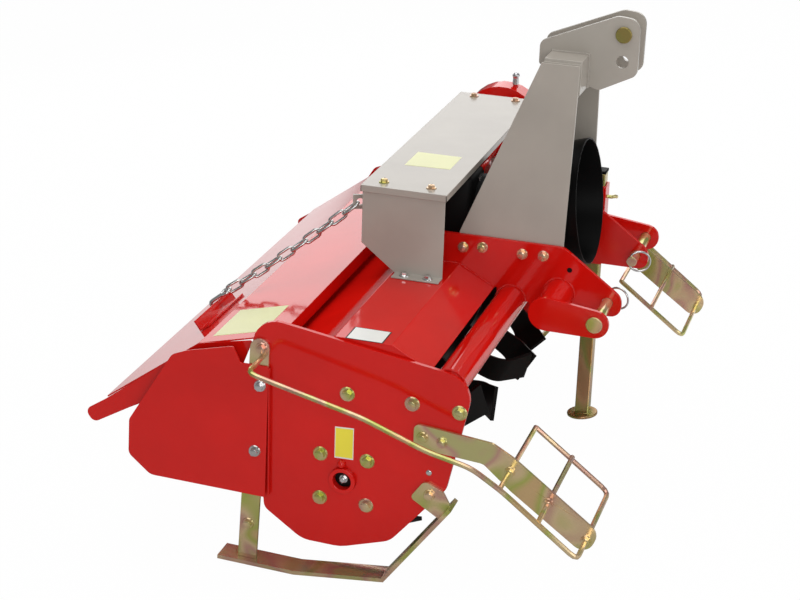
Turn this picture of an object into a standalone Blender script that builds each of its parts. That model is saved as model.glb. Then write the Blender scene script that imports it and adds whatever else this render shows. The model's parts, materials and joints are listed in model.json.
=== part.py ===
"""Rotary tiller for a three-point hitch, parked nose down on its two skids and its parking leg.

X runs along the rotor with +X to the machine's right, Y forward to the tractor, Z up, in metres.
The machine is modelled level, with the rotor's axis as origin, under an empty that turns it to the
pitch at which it parks.
"""

import math

import bmesh
import bpy
from mathutils import Matrix, Quaternion, Vector

# Driving sizes of the whole machine.
HALF_WIDTH = 0.605  # outer faces of the end plates, from the middle
PARK_PITCH = math.radians(6.2)  # nose down
GROUND_DROP = 0.200  # from the rotor's axis to the floor
SEAM = 0.0003  # between pieces that touch
RUNNING_GAP = 0.0005  # between a shaft and its bore
OVERRUN = 0.002  # by which a cutter stands out of what it cuts
WELD = 0.00001  # merges the loose caps of a curve
STEPS_PER_TURN = 28

# Rotor.
ROTOR_TUBE_RADIUS = 0.030
ROTOR_TUBE_INSET = 0.035  # its ends from the outer faces of the end plates
STUB_RADIUS = 0.0175
STUB_LENGTH = 0.048  # into the side gear case
STUB_RIGHT_LENGTH = 0.030  # ends inside the bearing hub
TINE_TIP_RADIUS = 0.195
TINE_RINGS = 6
TINE_RING_INSET = 0.105  # the outermost rings from the outer faces of the end plates
TINE_RING_START = math.radians(-147)
TINE_RING_TURN = math.radians(15)  # from each ring to the next
BLADES_PER_RING = 4
FLANGE_RADIUS = 0.070
FLANGE_THICKNESS = 0.008
BLADE_ROOT_RADIUS = 0.050
BLADE_ROOT_WIDTH = 0.044
BLADE_WING_WIDTH = 0.068
BLADE_THICKNESS = 0.008
BLADE_SWEEP = 0.030  # by which the tip trails the root
BLADE_BEND = math.radians(55)  # of the wing out of the ring's plane
BLADE_BEND_RADIUS = 0.034
BLADE_WING_REACH = 0.070  # sideways from the ring's middle plane, at the wing's point
BLADE_TIP_CUT = 0.022  # by which the wing's trailing corner falls short of its point
BLADE_STEPS = 5

# End plates.
END_PLATE_THICKNESS = 0.008
END_PLATE_DEPTH = 0.430
END_PLATE_CORNER_SHARES = (  # forward, up, corner radius
    (-0.433, 0.716, 0.116),
    (0.574, 0.560, 0.116),
    (0.465, 0.035, 0.050),
    (0.221, -0.260, 0.100),
    (-0.007, -0.333, 0.180),
    (-0.186, -0.328, 0.120),
    (-0.367, -0.202, 0.050),
)
BEARING_HOLE_RADIUS = 0.026

# Bearing hub at the right end.
HUB_FLANGE_RADIUS = 0.075
HUB_FLANGE_THICKNESS = 0.008
HUB_BOSS_PROUD = 0.009

# Hood: a folded sheet between the end plates.
HOOD_TOP = 0.284
HOOD_THICKNESS = 0.004
HOOD_FLAT_REAR = -0.025
HOOD_FLAT_FRONT = 0.085
HOOD_FRONT_RUN = 0.075
HOOD_FRONT_FALL = 0.040
HOOD_SKIRT_RUN = 0.105
HOOD_SKIRT_FALL = 0.056
HOOD_TAIL_RUN = 0.052
HOOD_TAIL_FALL = 0.040

# Front tube.
FRONT_TUBE_RADIUS = 0.030
FRONT_TUBE_FORWARD = 0.195
FRONT_TUBE_HEIGHT = 0.222

# Lower hitch.
HITCH_SPREAD = 0.148  # outer faces of the big plates
HITCH_PLATE_THICKNESS = 0.008
HITCH_PLATE_REAR = 0.030
HITCH_PLATE_RISE = 0.063  # over the hood
HITCH_PLATE_SHOULDER = 0.297
PIN_FORWARD = 0.391
PIN_HEIGHT = 0.244
PIN_RADIUS = 0.011
PIN_EYE_RADIUS = 0.028
PIN_TAIL = 0.040  # inboard of the big plate
PIN_HEAD_RADIUS = 0.0165
PIN_HEAD_THICKNESS = 0.004
OUTER_PLATE_SPREAD = 0.270
OUTER_PLATE_THICKNESS = 0.008
OUTER_BOSS_FORWARD = 0.293
OUTER_BOSS_HEIGHT = 0.251
OUTER_BOSS_RADIUS = 0.030
OUTER_PLATE_HEEL_RADIUS = 0.034

# Mast.
MAST_THICKNESS = 0.006
MAST_FOOT_RISE = 0.006  # over the hood
MAST_FOLD_RISE = 0.060  # over its foot
MAST_TOP_SPREAD = 0.103  # outer faces at the top
MAST_FOOT_REAR = 0.080
MAST_FOOT_FRONT = 0.294
MAST_TOP_REAR = 0.219
MAST_TOP_FRONT = 0.296
HEAD_RISE = 0.009  # its top over the top link's lower hole
HEAD_HEIGHT = 0.067
HEAD_PROUD = 0.008  # over the mast plates
HEAD_REAR = 0.223
HEAD_FRONT = 0.298
HEAD_EDGE_RADIUS = 0.008
CLEVIS_SPREAD = 0.034  # outer faces
CLEVIS_THICKNESS = 0.008
CLEVIS_LENGTH = 0.200
CLEVIS_REAR = 0.198
CLEVIS_CORNER_SHARES = (  # forward, up, corner radius
    (0.000, 0.190, 0.030),
    (0.000, 0.420, 0.080),
    (0.760, 0.740, 0.100),
    (0.985, 0.720, 0.130),
    (0.985, 0.170, 0.090),
    (0.610, -0.020, 0.060),
)
TOP_LINK_FORWARD = 0.364
TOP_LINK_RISE = 0.459  # above the lower pins
TOP_LINK_STEP = 0.055  # between the two holes
TOP_LINK_HOLE_RADIUS = 0.0125
TOP_LINK_PIN_RADIUS = 0.009
TOP_LINK_HEAD_RADIUS = 0.016
TOP_LINK_HEAD_THICKNESS = 0.007

# Gearbox and its input.
GEARBOX_HALF_WIDTH = 0.075
GEARBOX_REAR = -0.085
GEARBOX_FRONT = 0.085
GEARBOX_HEIGHT = 0.158
GEARBOX_EDGE_RADIUS = 0.012
INPUT_TILT = math.radians(7)  # nose up
INPUT_RISE = 0.088  # of its axis over the hood, where it starts
NOSE_RADIUS = 0.055
NOSE_LENGTH = 0.085
SHIELD_RIM_RADIUS = 0.129
SHIELD_BACK_RADIUS = 0.105
SHIELD_WALL = 0.003
SHIELD_LENGTH = 0.145
SHAFT_RADIUS = 0.0175
SHAFT_BORE_RADIUS = 0.030
SHAFT_SOCKET = 0.050
SHAFT_PROUD = 0.095

# Side drive.
DRIVE_TUBE_RADIUS = 0.036
DRIVE_TUBE_BACK = -0.030
DRIVE_TUBE_RISE = 0.066  # over the hood
CASE_THICKNESS = 0.055
CASE_TOP_RADIUS = 0.095
CASE_FOOT_RADIUS = 0.085
CASE_EDGE_RADIUS = 0.008
BREATHER_RADIUS = 0.006
BREATHER_HEIGHT = 0.022
BREATHER_FORWARD = 0.025  # from the drive tube's axis

# Guard over the drive line.
GUARD_RIGHT = 0.250
GUARD_INSET = 0.135  # its left face from the left end plate's outer face
GUARD_HEIGHT = 0.174
GUARD_REAR = -0.091
GUARD_FRONT = 0.078
GUARD_WALL = 0.003
GUARD_CHIN_RISE = 0.056  # over the hood, where its ends start to slant
GUARD_HEEL = -0.019  # rear end of its foot
GUARD_FOOT_REACH = 0.028
GUARD_HOLE_GAP = 0.005  # round the drive tube

# Tailboard.
HINGE_BACK = -0.150
HINGE_HEIGHT = 0.243
HINGE_ROD_RADIUS = 0.006
KNUCKLE_RADIUS = 0.011
KNUCKLE_LENGTH = 0.060
KNUCKLE_INSET = 0.185  # from the end plate's outer face
TAILBOARD_INSET = 0.015
TAILBOARD_THICKNESS = 0.003
TAILBOARD_FRONT = -0.134
TAILBOARD_FRONT_HEIGHT = 0.267
TAILBOARD_LIP = 0.030  # folded down along its front edge
TAILBOARD_FOLD = -0.296
TAILBOARD_FOLD_HEIGHT = 0.226
TAILBOARD_REAR = -0.488
TAILBOARD_REAR_HEIGHT = 0.085
CHEEK_THICKNESS = 0.003
CHEEK_LENGTH = 0.330
CHEEK_CORNER_SHARES = (  # back from the front edge, down from it, corner radius
    (0.160, 0.055, 0.010),
    (0.485, 0.122, 0.030),
    (1.080, 0.570, 0.030),
    (1.215, 0.660, 0.040),
    (1.160, 0.735, 0.040),
    (0.930, 0.600, 0.050),
    (0.560, 0.400, 0.100),
    (0.230, 0.240, 0.040),
)

# Chain and what holds it.
CHAIN_ANCHOR_INSET = 0.035  # from the guard's right face
CHAIN_ANCHOR_DROP = 0.046  # under the guard's top
CHAIN_HOOK_RIGHT = 0.340
CHAIN_LINKS = 10
CHAIN_WIRE_RADIUS = 0.0032
CHAIN_LINK_HALF_WIDTH = 0.0078  # from its middle to the wire's centre line
CHAIN_LINK_STEPS = 6  # along each round end
CHAIN_BITE = 0.0010  # by which neighbouring links press into one another
CHAIN_SAG = 0.006
CHAIN_SEAT = 0.0008  # between the first link and the lug's hole, where the link's round end leaves the most
HOOK_WIRE_RADIUS = 0.0040
HOOK_EYE_HALF_WIDTH = 0.0095
HOOK_EYE_LENGTH = 0.012  # inside
HOOK_SHANK = 0.022
HOOK_DROP = 0.020  # by which its tip hangs behind the bracket
HOOK_GAP = 0.0010  # over the bracket's edge
LUG_WIDTH = 0.030
LUG_THICKNESS = 0.005
LUG_REACH = 0.016
LUG_HOLE_RADIUS = 0.0075
BRACKET_LENGTH = 0.180
BRACKET_LEFT = 0.270
BRACKET_BACK = -0.352
BRACKET_HEIGHT = 0.024
BRACKET_THICKNESS = 0.004

# Side shields and skids.
STRAP_WIDTH = 0.038
STRAP_THICKNESS = 0.006
STRAP_TOP_BACK = -0.165
STRAP_TOP_HEIGHT = 0.262
SHIELD_SHEET = 0.003
SHIELD_DEPTH = 0.292
SHIELD_FRONT = -0.147
SHIELD_CORNER_SHARES = (  # back from its front edge, up from the rotor's axis, corner radius
    (0.000, 0.720, 0.010),
    (0.190, 0.720, 0.010),
    (0.240, 0.825, 0.020),
    (0.560, 0.745, 0.060),
    (0.665, 0.700, 0.060),
    (0.975, 0.190, 0.050),
    (0.985, -0.060, 0.060),
    (0.830, -0.190, 0.080),
    (0.020, -0.210, 0.010),
)
SKID_WIDTH = 0.050
SKID_THICKNESS = 0.008
SKID_FLAT_REAR = -0.090
SKID_FLAT_FRONT = 0.086
SKID_TIP_BACK = -0.246
SKID_TIP_RISE = 0.022
SKID_NOSE_FORWARD = 0.210
SKID_NOSE_HEIGHT = -0.014
SKID_INSET = 0.005  # its middle from the end plate's outer face
STRAP_BOLT_BACK = -0.190
TAB_THICKNESS = 0.006
TAB_LENGTH = 0.080
TAB_REAR = 0.133
TAB_CORNER_SHARES = (  # forward from its rear corner, up from the rotor's axis, corner radius
    (0.000, -0.120, 0.100),
    (0.330, 0.360, 0.150),
    (0.780, 0.160, 0.150),
    (1.010, -0.250, 0.000),
    (0.720, -0.560, 0.000),
)

# Guard bars with their welded rod frames.
BAR_THICKNESS = 0.006
BAR_LENGTH = 0.360
BAR_REAR = 0.136
BAR_CORNER_SHARES = (  # forward from its rear end, up from the rotor's axis, corner radius
    (0.000, 0.395, 0.030),
    (0.415, 0.352, 0.050),
    (0.530, 0.288, 0.050),
    (0.990, -0.052, 0.070),
    (0.925, -0.185, 0.075),
    (0.520, 0.105, 0.050),
    (0.370, 0.232, 0.050),
    (0.000, 0.262, 0.030),
)
ROD_RADIUS = 0.005
ROD_BEND = 0.018  # length of leg that each bend takes
ROD_BEND_STEPS = 3
ROD_OUTREACH = 0.076  # outer rail beyond the bar
ROD_INREACH = 0.200
CROSS_ROD_SHARES = (  # forward from the bar's rear end, up from the rotor's axis, both of the bar's length
    (0.510, 0.214),
    (0.717, 0.075),
    (0.922, -0.097),
)
RAIL_SHARES = (  # the outer rail from its rear end, in the same terms
    (-0.822, 0.630),
    (-0.207, 0.481),
    (0.126, 0.358),
    (0.363, 0.306),
    (0.524, 0.208),
    (0.922, -0.097),
)

# Parking leg, to the left of the left hitch plate.
LEG_SIDE = 0.030
LEG_BACK_OFFSET = 0.002  # behind the boss's middle
LEG_RIGHT = -0.205
LEG_TOP = 0.398
LEG_FOOT_RADIUS = 0.034
LEG_FOOT_THICKNESS = 0.006
SLEEVE_WALL = 0.004
SLEEVE_BOTTOM = 0.196
SLEEVE_TOP = 0.372
SLEEVE_GAP = 0.0005

# Places that follow from the sizes above.
END_PLATE_INSIDE = HALF_WIDTH - END_PLATE_THICKNESS
ROTOR_TUBE_HALF_LENGTH = HALF_WIDTH - ROTOR_TUBE_INSET
TINE_RING_SPREAD = HALF_WIDTH - TINE_RING_INSET
TAILBOARD_HALF_WIDTH = HALF_WIDTH - TAILBOARD_INSET
KNUCKLE_SPREAD = HALF_WIDTH - KNUCKLE_INSET
SKID_CENTRE = HALF_WIDTH - SKID_INSET
GUARD_LEFT = GUARD_INSET - HALF_WIDTH
GUARD_TOP = HOOD_TOP + GUARD_HEIGHT
GUARD_CHIN = HOOD_TOP + GUARD_CHIN_RISE
GEARBOX_TOP = HOOD_TOP + GEARBOX_HEIGHT
INPUT_HEIGHT = HOOD_TOP + INPUT_RISE
DRIVE_TUBE_HEIGHT = HOOD_TOP + DRIVE_TUBE_RISE
HITCH_PLATE_TOP = HOOD_TOP + HITCH_PLATE_RISE
TOP_LINK_HEIGHT = PIN_HEIGHT + TOP_LINK_RISE
HEAD_TOP = TOP_LINK_HEIGHT + HEAD_RISE
HEAD_BOTTOM = HEAD_TOP - HEAD_HEIGHT
MAST_FOOT = HOOD_TOP + MAST_FOOT_RISE
MAST_FOLD = MAST_FOOT + MAST_FOLD_RISE
MAST_TOP = HEAD_TOP - HEAD_PROUD
CHAIN_ANCHOR_RIGHT = GUARD_RIGHT - CHAIN_ANCHOR_INSET
CHAIN_ANCHOR_HEIGHT = GUARD_TOP - CHAIN_ANCHOR_DROP
TAILBOARD_FALL = TAILBOARD_FOLD_HEIGHT - TAILBOARD_REAR_HEIGHT
TAILBOARD_RUN = Vector((TAILBOARD_FOLD - TAILBOARD_REAR, TAILBOARD_FALL)).normalized()
TAILBOARD_SQUARE = Vector((-TAILBOARD_RUN.y, TAILBOARD_RUN.x))
BRACKET_FOOT = Vector((TAILBOARD_FOLD, TAILBOARD_FOLD_HEIGHT)) + TAILBOARD_SQUARE * SEAM
BRACKET_FOOT += TAILBOARD_RUN * ((BRACKET_BACK - TAILBOARD_FOLD) / TAILBOARD_RUN.x)
STANDING = Quaternion((0.5, 0.5, 0.5, 0.5))  # turns X, Y, Z to Y, Z, X, so a flat outline stands across X


def clear_scene():
    for thing in list(bpy.data.objects):
        bpy.data.objects.remove(thing)


def paint(name, colour, roughness, metallic):
    """A Principled material of one colour."""
    made = bpy.data.materials.new(name)
    made.use_nodes = True
    shader = made.node_tree.nodes["Principled BSDF"]
    shader.inputs["Base Color"].default_value = (*colour, 1.0)
    shader.inputs["Roughness"].default_value = roughness
    shader.inputs["Metallic"].default_value = metallic
    made.diffuse_color = (*colour, 1.0)
    return made


clear_scene()
MACHINE = bpy.data.collections.new("rotary_tiller")
CUTTERS = bpy.data.collections.new("cutters")
bpy.context.scene.collection.children.link(MACHINE)
bpy.context.scene.collection.children.link(CUTTERS)

RED = paint("red_gloss_paint", (0.56, 0.010, 0.008), 0.12, 0.0)
GREY = paint("grey_paint", (0.30, 0.27, 0.23), 0.35, 0.0)
BLACK = paint("black_plastic", (0.010, 0.010, 0.010), 0.5, 0.0)
STEEL = paint("black_tine_steel", (0.012, 0.012, 0.012), 0.45, 0.6)
GOLD = paint("yellow_zinc", (0.55, 0.40, 0.20), 0.3, 1.0)
SILVER = paint("silver_zinc", (0.62, 0.62, 0.60), 0.3, 1.0)


def place_empty(name, place, parent=None):
    """An empty that carries a body, on that body's axis."""
    carrier = bpy.data.objects.new(name, None)
    carrier.location = Vector(place)
    carrier.parent = parent
    MACHINE.objects.link(carrier)
    return carrier


PARKED = place_empty("parked_machine", (0, 0, 0))
ROTOR_AXIS = place_empty("rotor_axis", (0, 0, 0), PARKED)
TAILBOARD_AXIS = place_empty("tailboard_axis", (0, HINGE_BACK, HINGE_HEIGHT), PARKED)
CHAIN_AXIS_BACK = GUARD_REAR - SEAM - LUG_REACH
CHAIN_AXIS = place_empty("chain_axis", (CHAIN_ANCHOR_RIGHT, CHAIN_AXIS_BACK, CHAIN_ANCHOR_HEIGHT), PARKED)
HOOK_PLACE = BRACKET_FOOT + TAILBOARD_SQUARE * (BRACKET_HEIGHT + HOOK_GAP + HOOK_WIRE_RADIUS)
HOOK_BACK, HOOK_HEIGHT = HOOK_PLACE + TAILBOARD_RUN * (BRACKET_THICKNESS / 2)
CHAIN_TURN = math.atan2(CHAIN_HOOK_RIGHT - CHAIN_ANCHOR_RIGHT, CHAIN_AXIS_BACK - HOOK_BACK)
CHAIN_AXIS.rotation_euler = (0, 0, CHAIN_TURN)
LEG_AXIS = place_empty("leg_axis", (LEG_RIGHT, OUTER_BOSS_FORWARD - LEG_BACK_OFFSET, LEG_TOP), PARKED)
INPUT_AXIS = place_empty("input_axis", (0, GEARBOX_FRONT, INPUT_HEIGHT), PARKED)
INPUT_AXIS.rotation_euler = (INPUT_TILT, 0, 0)


def carry(piece, parent):
    """Parents a piece that is placed in the machine's own frame to the empty that carries it."""
    piece.parent = parent
    if parent is not PARKED:
        piece.location = piece.location - parent.location


def add_object(name, data, colour, collection=MACHINE):
    piece = bpy.data.objects.new(name, data)
    if colour:
        data.materials.clear()
        data.materials.append(colour)
    collection.objects.link(piece)
    return piece


def helper(piece):
    """Makes a piece a cutter or a joined form, which isn't part of the model by itself."""
    for home in list(piece.users_collection):
        home.objects.unlink(piece)
    CUTTERS.objects.link(piece)
    piece.hide_render = True
    piece.display_type = "WIRE"
    return piece


def combine(piece, other, operation):
    modifier = piece.modifiers.new(operation.lower() + "_" + other.name, "BOOLEAN")
    modifier.operation = operation
    modifier.solver = "EXACT"
    modifier.object = helper(other)


def cut(piece, cutter):
    combine(piece, cutter, "DIFFERENCE")


def join(piece, other):
    combine(piece, other, "UNION")


def arc_points(centre, radius, start, end):
    """Points along an arc of at most 90 degrees or so, both ends included."""
    steps = max(2, round(abs(end - start) / math.tau * STEPS_PER_TURN))
    turns = (start + (end - start) * step / steps for step in range(steps + 1))
    return [(centre[0] + radius * math.cos(turn), centre[1] + radius * math.sin(turn)) for turn in turns]


def circle_points(centre, radius):
    turns = (math.tau * step / STEPS_PER_TURN for step in range(STEPS_PER_TURN))
    return [(centre[0] + radius * math.cos(turn), centre[1] + radius * math.sin(turn)) for turn in turns]


def rounded(corners):
    """The outline through corners (across, up, radius), each rounded by an arc of its radius."""
    points = []
    for index, (across, up, radius) in enumerate(corners):
        here = Vector((across, up))
        before = Vector(corners[index - 1][:2]) - here
        after = Vector(corners[(index + 1) % len(corners)][:2]) - here
        if not radius:
            points.append(tuple(here))
            continue
        half = before.angle(after) / 2
        reach = min(radius / math.tan(half), before.length / 2, after.length / 2)
        radius = reach * math.tan(half)
        middle = (before.normalized() + after.normalized()).normalized()
        centre = here + middle * (radius / math.sin(half))
        start = here + before.normalized() * reach - centre
        turn = start.angle_signed(here + after.normalized() * reach - centre)
        first = math.atan2(start.y, start.x)
        points.extend(arc_points(centre, radius, first, first - turn))
    return points


def from_shares(shares, size, across=0.0, up=0.0, mirror=1):
    """Corners in metres from a table of shares of one size, counted from a place."""
    return [(across + mirror * a * size, up + u * size, r * size) for a, u, r in shares]


def flat_curve(name, outlines, thickness, colour):
    """A flat piece: the first outline is its edge, the others are its holes."""
    curve = bpy.data.curves.new(name, "CURVE")
    curve.dimensions = "2D"
    curve.fill_mode = "BOTH"
    curve.extrude = thickness / 2
    for points in outlines:
        spline = curve.splines.new("POLY")
        spline.points.add(len(points) - 1)
        for point, place in zip(spline.points, points):
            point.co = (*place, 0, 1)
        spline.use_cyclic_u = True
    return add_object(name, curve, colour)


def as_mesh(piece):
    """The piece as a mesh with its caps welded, so that it can be cut and joined."""
    graph = bpy.context.evaluated_depsgraph_get()
    mesh = bpy.data.meshes.new_from_object(piece.evaluated_get(graph))
    form = bmesh.new()
    form.from_mesh(mesh)
    bmesh.ops.remove_doubles(form, verts=form.verts, dist=WELD)
    form.to_mesh(mesh)
    form.free()
    name = piece.name
    place = piece.matrix_world.copy()
    colour = piece.data.materials[0] if piece.data.materials else None
    bpy.data.objects.remove(piece)
    mesh.name = name
    solid = add_object(name, mesh, colour)
    solid.matrix_world = place
    return solid


def plate(name, outlines, outer_face, thickness, colour):
    """A plate across X with outlines in (Y, Z), its body on the middle's side of outer_face."""
    piece = flat_curve(name, outlines, thickness, colour)
    piece.rotation_mode = "QUATERNION"
    piece.rotation_quaternion = STANDING
    piece.location.x = outer_face - math.copysign(thickness / 2, outer_face)
    bpy.context.view_layer.update()
    return as_mesh(piece)


def profile_bar(name, outline, left, right, colour):
    """A bar or folded sheet along X with its profile in (Y, Z)."""
    piece = plate(name, [outline], right, right - left, colour)
    piece.location.x = (left + right) / 2
    return piece


def folded_sheet(points, thickness):
    """The closed profile of a sheet whose upper face follows the points from rear to front."""
    upper = [Vector(point) for point in points]
    lower = []
    for index, here in enumerate(upper):
        before = (here - upper[index - 1]).normalized() if index else None
        after = (upper[index + 1] - here).normalized() if index + 1 < len(upper) else None
        way = (before or after) + (after or before)
        normal = Vector((way.y, -way.x)).normalized()
        side = Vector(((before or after).y, -(before or after).x))
        lower.append(here + normal * (thickness / normal.dot(side)))
    return [tuple(point) for point in upper + lower[::-1]]


def turned(name, profile, colour, axis="X"):
    """A turned piece from its outline (radius, along), run from top to bottom on the outside."""
    mesh = bpy.data.meshes.new(name)
    form = bmesh.new()
    corners = [form.verts.new((radius, 0, along)) for radius, along in profile]
    for index in range(len(corners)):
        ends = (corners[index], corners[(index + 1) % len(corners)])
        if not (ends[0].co.x == 0 and ends[1].co.x == 0):
            form.edges.new(ends)
    form.to_mesh(mesh)
    form.free()
    piece = add_object(name, mesh, colour)
    screw = piece.modifiers.new("turn", "SCREW")
    screw.steps = STEPS_PER_TURN
    screw.render_steps = STEPS_PER_TURN
    screw.use_merge_vertices = True
    screw.merge_threshold = WELD
    if axis == "X":
        piece.rotation_euler = (0, math.pi / 2, 0)
    if axis == "Y":
        piece.rotation_euler = (-math.pi / 2, 0, 0)
    return piece


def rod_profile(radius, start, end, bore=0):
    """The outline of a plain round bar or tube, for a turned piece."""
    return [(radius, end), (radius, start), (bore, start), (bore, end)]


def box(name, low, high, colour):
    """A box between two corners."""
    form = bmesh.new()
    bmesh.ops.create_cube(form, size=1.0)
    size = Vector(high) - Vector(low)
    bmesh.ops.scale(form, vec=size, verts=form.verts)
    mesh = bpy.data.meshes.new(name)
    form.to_mesh(mesh)
    form.free()
    piece = add_object(name, mesh, colour)
    piece.location = (Vector(low) + Vector(high)) / 2
    return piece


def round_edges(piece, radius, segments=2):
    bevel = piece.modifiers.new("rounded_edges", "BEVEL")
    bevel.width = radius
    bevel.segments = segments
    bevel.limit_method = "ANGLE"


def wire(name, points, radius, colour, closed=False):
    """A round rod along a path of points, mitred at its corners."""
    curve = bpy.data.curves.new(name, "CURVE")
    curve.dimensions = "3D"
    curve.bevel_depth = radius
    curve.bevel_resolution = 2
    curve.use_fill_caps = True
    spline = curve.splines.new("POLY")
    spline.points.add(len(points) - 1)
    for point, place in zip(spline.points, points):
        point.co = (*place, 1)
    spline.use_cyclic_u = closed
    return add_object(name, curve, colour)


def bent(points, leg, steps):
    """The path with each of its inner corners eased into a bend that takes a leg's length of both sides."""
    corners = [Vector(point) for point in points]
    eased = [corners[0]]
    for before, here, after in zip(corners, corners[1:], corners[2:]):
        start = here + (before - here).normalized() * min(leg, (before - here).length / 2)
        end = here + (after - here).normalized() * min(leg, (after - here).length / 2)
        for step in range(steps + 1):
            share = step / steps
            eased.append(start.lerp(here, share).lerp(here.lerp(end, share), share))
    eased.append(corners[-1])
    return eased


def ground_height(forward):
    """Height of the floor under a place of the level machine."""
    return (forward * math.sin(PARK_PITCH) - GROUND_DROP) / math.cos(PARK_PITCH)


def sides():
    return (("right", 1), ("left", -1))


def make_end_plates():
    outline = rounded(from_shares(END_PLATE_CORNER_SHARES, END_PLATE_DEPTH))
    for side, sign in sides():
        hole = circle_points((0, 0), BEARING_HOLE_RADIUS)
        piece = plate("end_plate_" + side, [outline, hole], sign * HALF_WIDTH, END_PLATE_THICKNESS, RED)
        carry(piece, PARKED)


def make_hood():
    upper = [
        (HOOD_FLAT_REAR - HOOD_SKIRT_RUN - HOOD_TAIL_RUN, HOOD_TOP - HOOD_SKIRT_FALL - HOOD_TAIL_FALL),
        (HOOD_FLAT_REAR - HOOD_SKIRT_RUN, HOOD_TOP - HOOD_SKIRT_FALL),
        (HOOD_FLAT_REAR, HOOD_TOP),
        (HOOD_FLAT_FRONT, HOOD_TOP),
        (HOOD_FLAT_FRONT + HOOD_FRONT_RUN, HOOD_TOP - HOOD_FRONT_FALL),
    ]
    reach = END_PLATE_INSIDE - SEAM
    carry(profile_bar("hood", folded_sheet(upper, HOOD_THICKNESS), -reach, reach, RED), PARKED)


def make_front_tube():
    reach = END_PLATE_INSIDE - SEAM
    piece = turned("front_tube", rod_profile(FRONT_TUBE_RADIUS, -reach, reach), RED)
    piece.location = (0, FRONT_TUBE_FORWARD, FRONT_TUBE_HEIGHT)
    carry(piece, PARKED)


def hitch_plate_outline():
    """The big plate stands on the hood, straddles the front tube and reaches to the lower pin."""
    foot = HOOD_TOP + SEAM
    notch = FRONT_TUBE_RADIUS + SEAM
    eye_bottom = PIN_HEIGHT - PIN_EYE_RADIUS
    eye_front = PIN_FORWARD + PIN_EYE_RADIUS
    brow = PIN_HEIGHT + PIN_EYE_RADIUS / 2
    corners = [
        (HITCH_PLATE_REAR, foot, 0),
        (HITCH_PLATE_REAR, HITCH_PLATE_TOP, PIN_RADIUS),
        (HITCH_PLATE_SHOULDER, HITCH_PLATE_TOP, PIN_EYE_RADIUS),
        (eye_front, brow, PIN_EYE_RADIUS),
        (eye_front, eye_bottom, PIN_EYE_RADIUS),
        (FRONT_TUBE_FORWARD + notch + HITCH_PLATE_THICKNESS, eye_bottom, 0),
        (FRONT_TUBE_FORWARD + notch + HITCH_PLATE_THICKNESS, FRONT_TUBE_HEIGHT, 0),
    ]
    over_tube = arc_points((FRONT_TUBE_FORWARD, FRONT_TUBE_HEIGHT), notch, 0, math.pi)
    slope_foot = HOOD_TOP - HOOD_FRONT_FALL + 2 * SEAM
    heel = [
        (FRONT_TUBE_FORWARD - notch, slope_foot),
        (HOOD_FLAT_FRONT + HOOD_FRONT_RUN, slope_foot),
        (HOOD_FLAT_FRONT, foot),
    ]
    return rounded(corners) + over_tube + heel


def make_hitch_plates():
    outline = hitch_plate_outline()
    hole = circle_points((PIN_FORWARD, PIN_HEIGHT), PIN_RADIUS + SEAM)
    for side, sign in sides():
        piece = plate("hitch_plate_" + side, [outline, hole], sign * HITCH_SPREAD, HITCH_PLATE_THICKNESS, RED)
        carry(piece, PARKED)


def outer_plate_outline():
    """A link with a large heel round its boss and a smaller eye round the pin."""
    heel = Vector((OUTER_BOSS_FORWARD, OUTER_BOSS_HEIGHT))
    eye = Vector((PIN_FORWARD, PIN_HEIGHT))
    along = eye - heel
    tilt = math.atan2(along.y, along.x)
    lean = math.acos((OUTER_PLATE_HEEL_RADIUS - PIN_EYE_RADIUS) / along.length)
    round_heel = arc_points(heel, OUTER_PLATE_HEEL_RADIUS, tilt + lean, tilt + math.tau - lean)
    round_eye = arc_points(eye, PIN_EYE_RADIUS, tilt - lean, tilt + lean)
    return round_heel + round_eye


def make_outer_hitch_plates():
    hole = circle_points((PIN_FORWARD, PIN_HEIGHT), PIN_RADIUS + SEAM)
    outlines = [outer_plate_outline(), hole]
    for side, sign in sides():
        name = "outer_hitch_plate_" + side
        piece = plate(name, outlines, sign * OUTER_PLATE_SPREAD, OUTER_PLATE_THICKNESS, RED)
        carry(piece, PARKED)
        ends = (sign * (HITCH_SPREAD + SEAM), sign * (OUTER_PLATE_SPREAD - OUTER_PLATE_THICKNESS / 2))
        boss = turned("boss_" + side, rod_profile(OUTER_BOSS_RADIUS, min(ends), max(ends)), RED)
        boss.location = (0, OUTER_BOSS_FORWARD, OUTER_BOSS_HEIGHT)
        carry(boss, PARKED)
        join(piece, boss)
        if side == "left":
            cut(piece, leg_channel("leg_sleeve_channel", LEG_SIDE / 2 + SLEEVE_GAP + SLEEVE_WALL + SEAM))


def leg_channel(name, half):
    """A square column round the parking leg."""
    forward = OUTER_BOSS_FORWARD - LEG_BACK_OFFSET
    low = (LEG_RIGHT - half, forward - half, SLEEVE_BOTTOM - OVERRUN)
    high = (LEG_RIGHT + half, forward + half, SLEEVE_TOP + OVERRUN)
    column = box(name, low, high, None)
    carry(column, PARKED)
    return column


def make_hitch_pins():
    for side, sign in sides():
        head = OUTER_PLATE_SPREAD + SEAM
        tail = HITCH_SPREAD - HITCH_PLATE_THICKNESS - PIN_TAIL
        profile = [
            (0, head + PIN_HEAD_THICKNESS),
            (PIN_HEAD_RADIUS, head + PIN_HEAD_THICKNESS),
            (PIN_HEAD_RADIUS, head),
            (PIN_RADIUS, head),
            (PIN_RADIUS, tail),
            (0, tail),
        ]
        if sign < 0:
            profile = [(radius, -along) for radius, along in reversed(profile)]
        piece = turned("hitch_pin_" + side, profile, GOLD)
        piece.location = (0, PIN_FORWARD, PIN_HEIGHT)
        carry(piece, PARKED)


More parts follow.
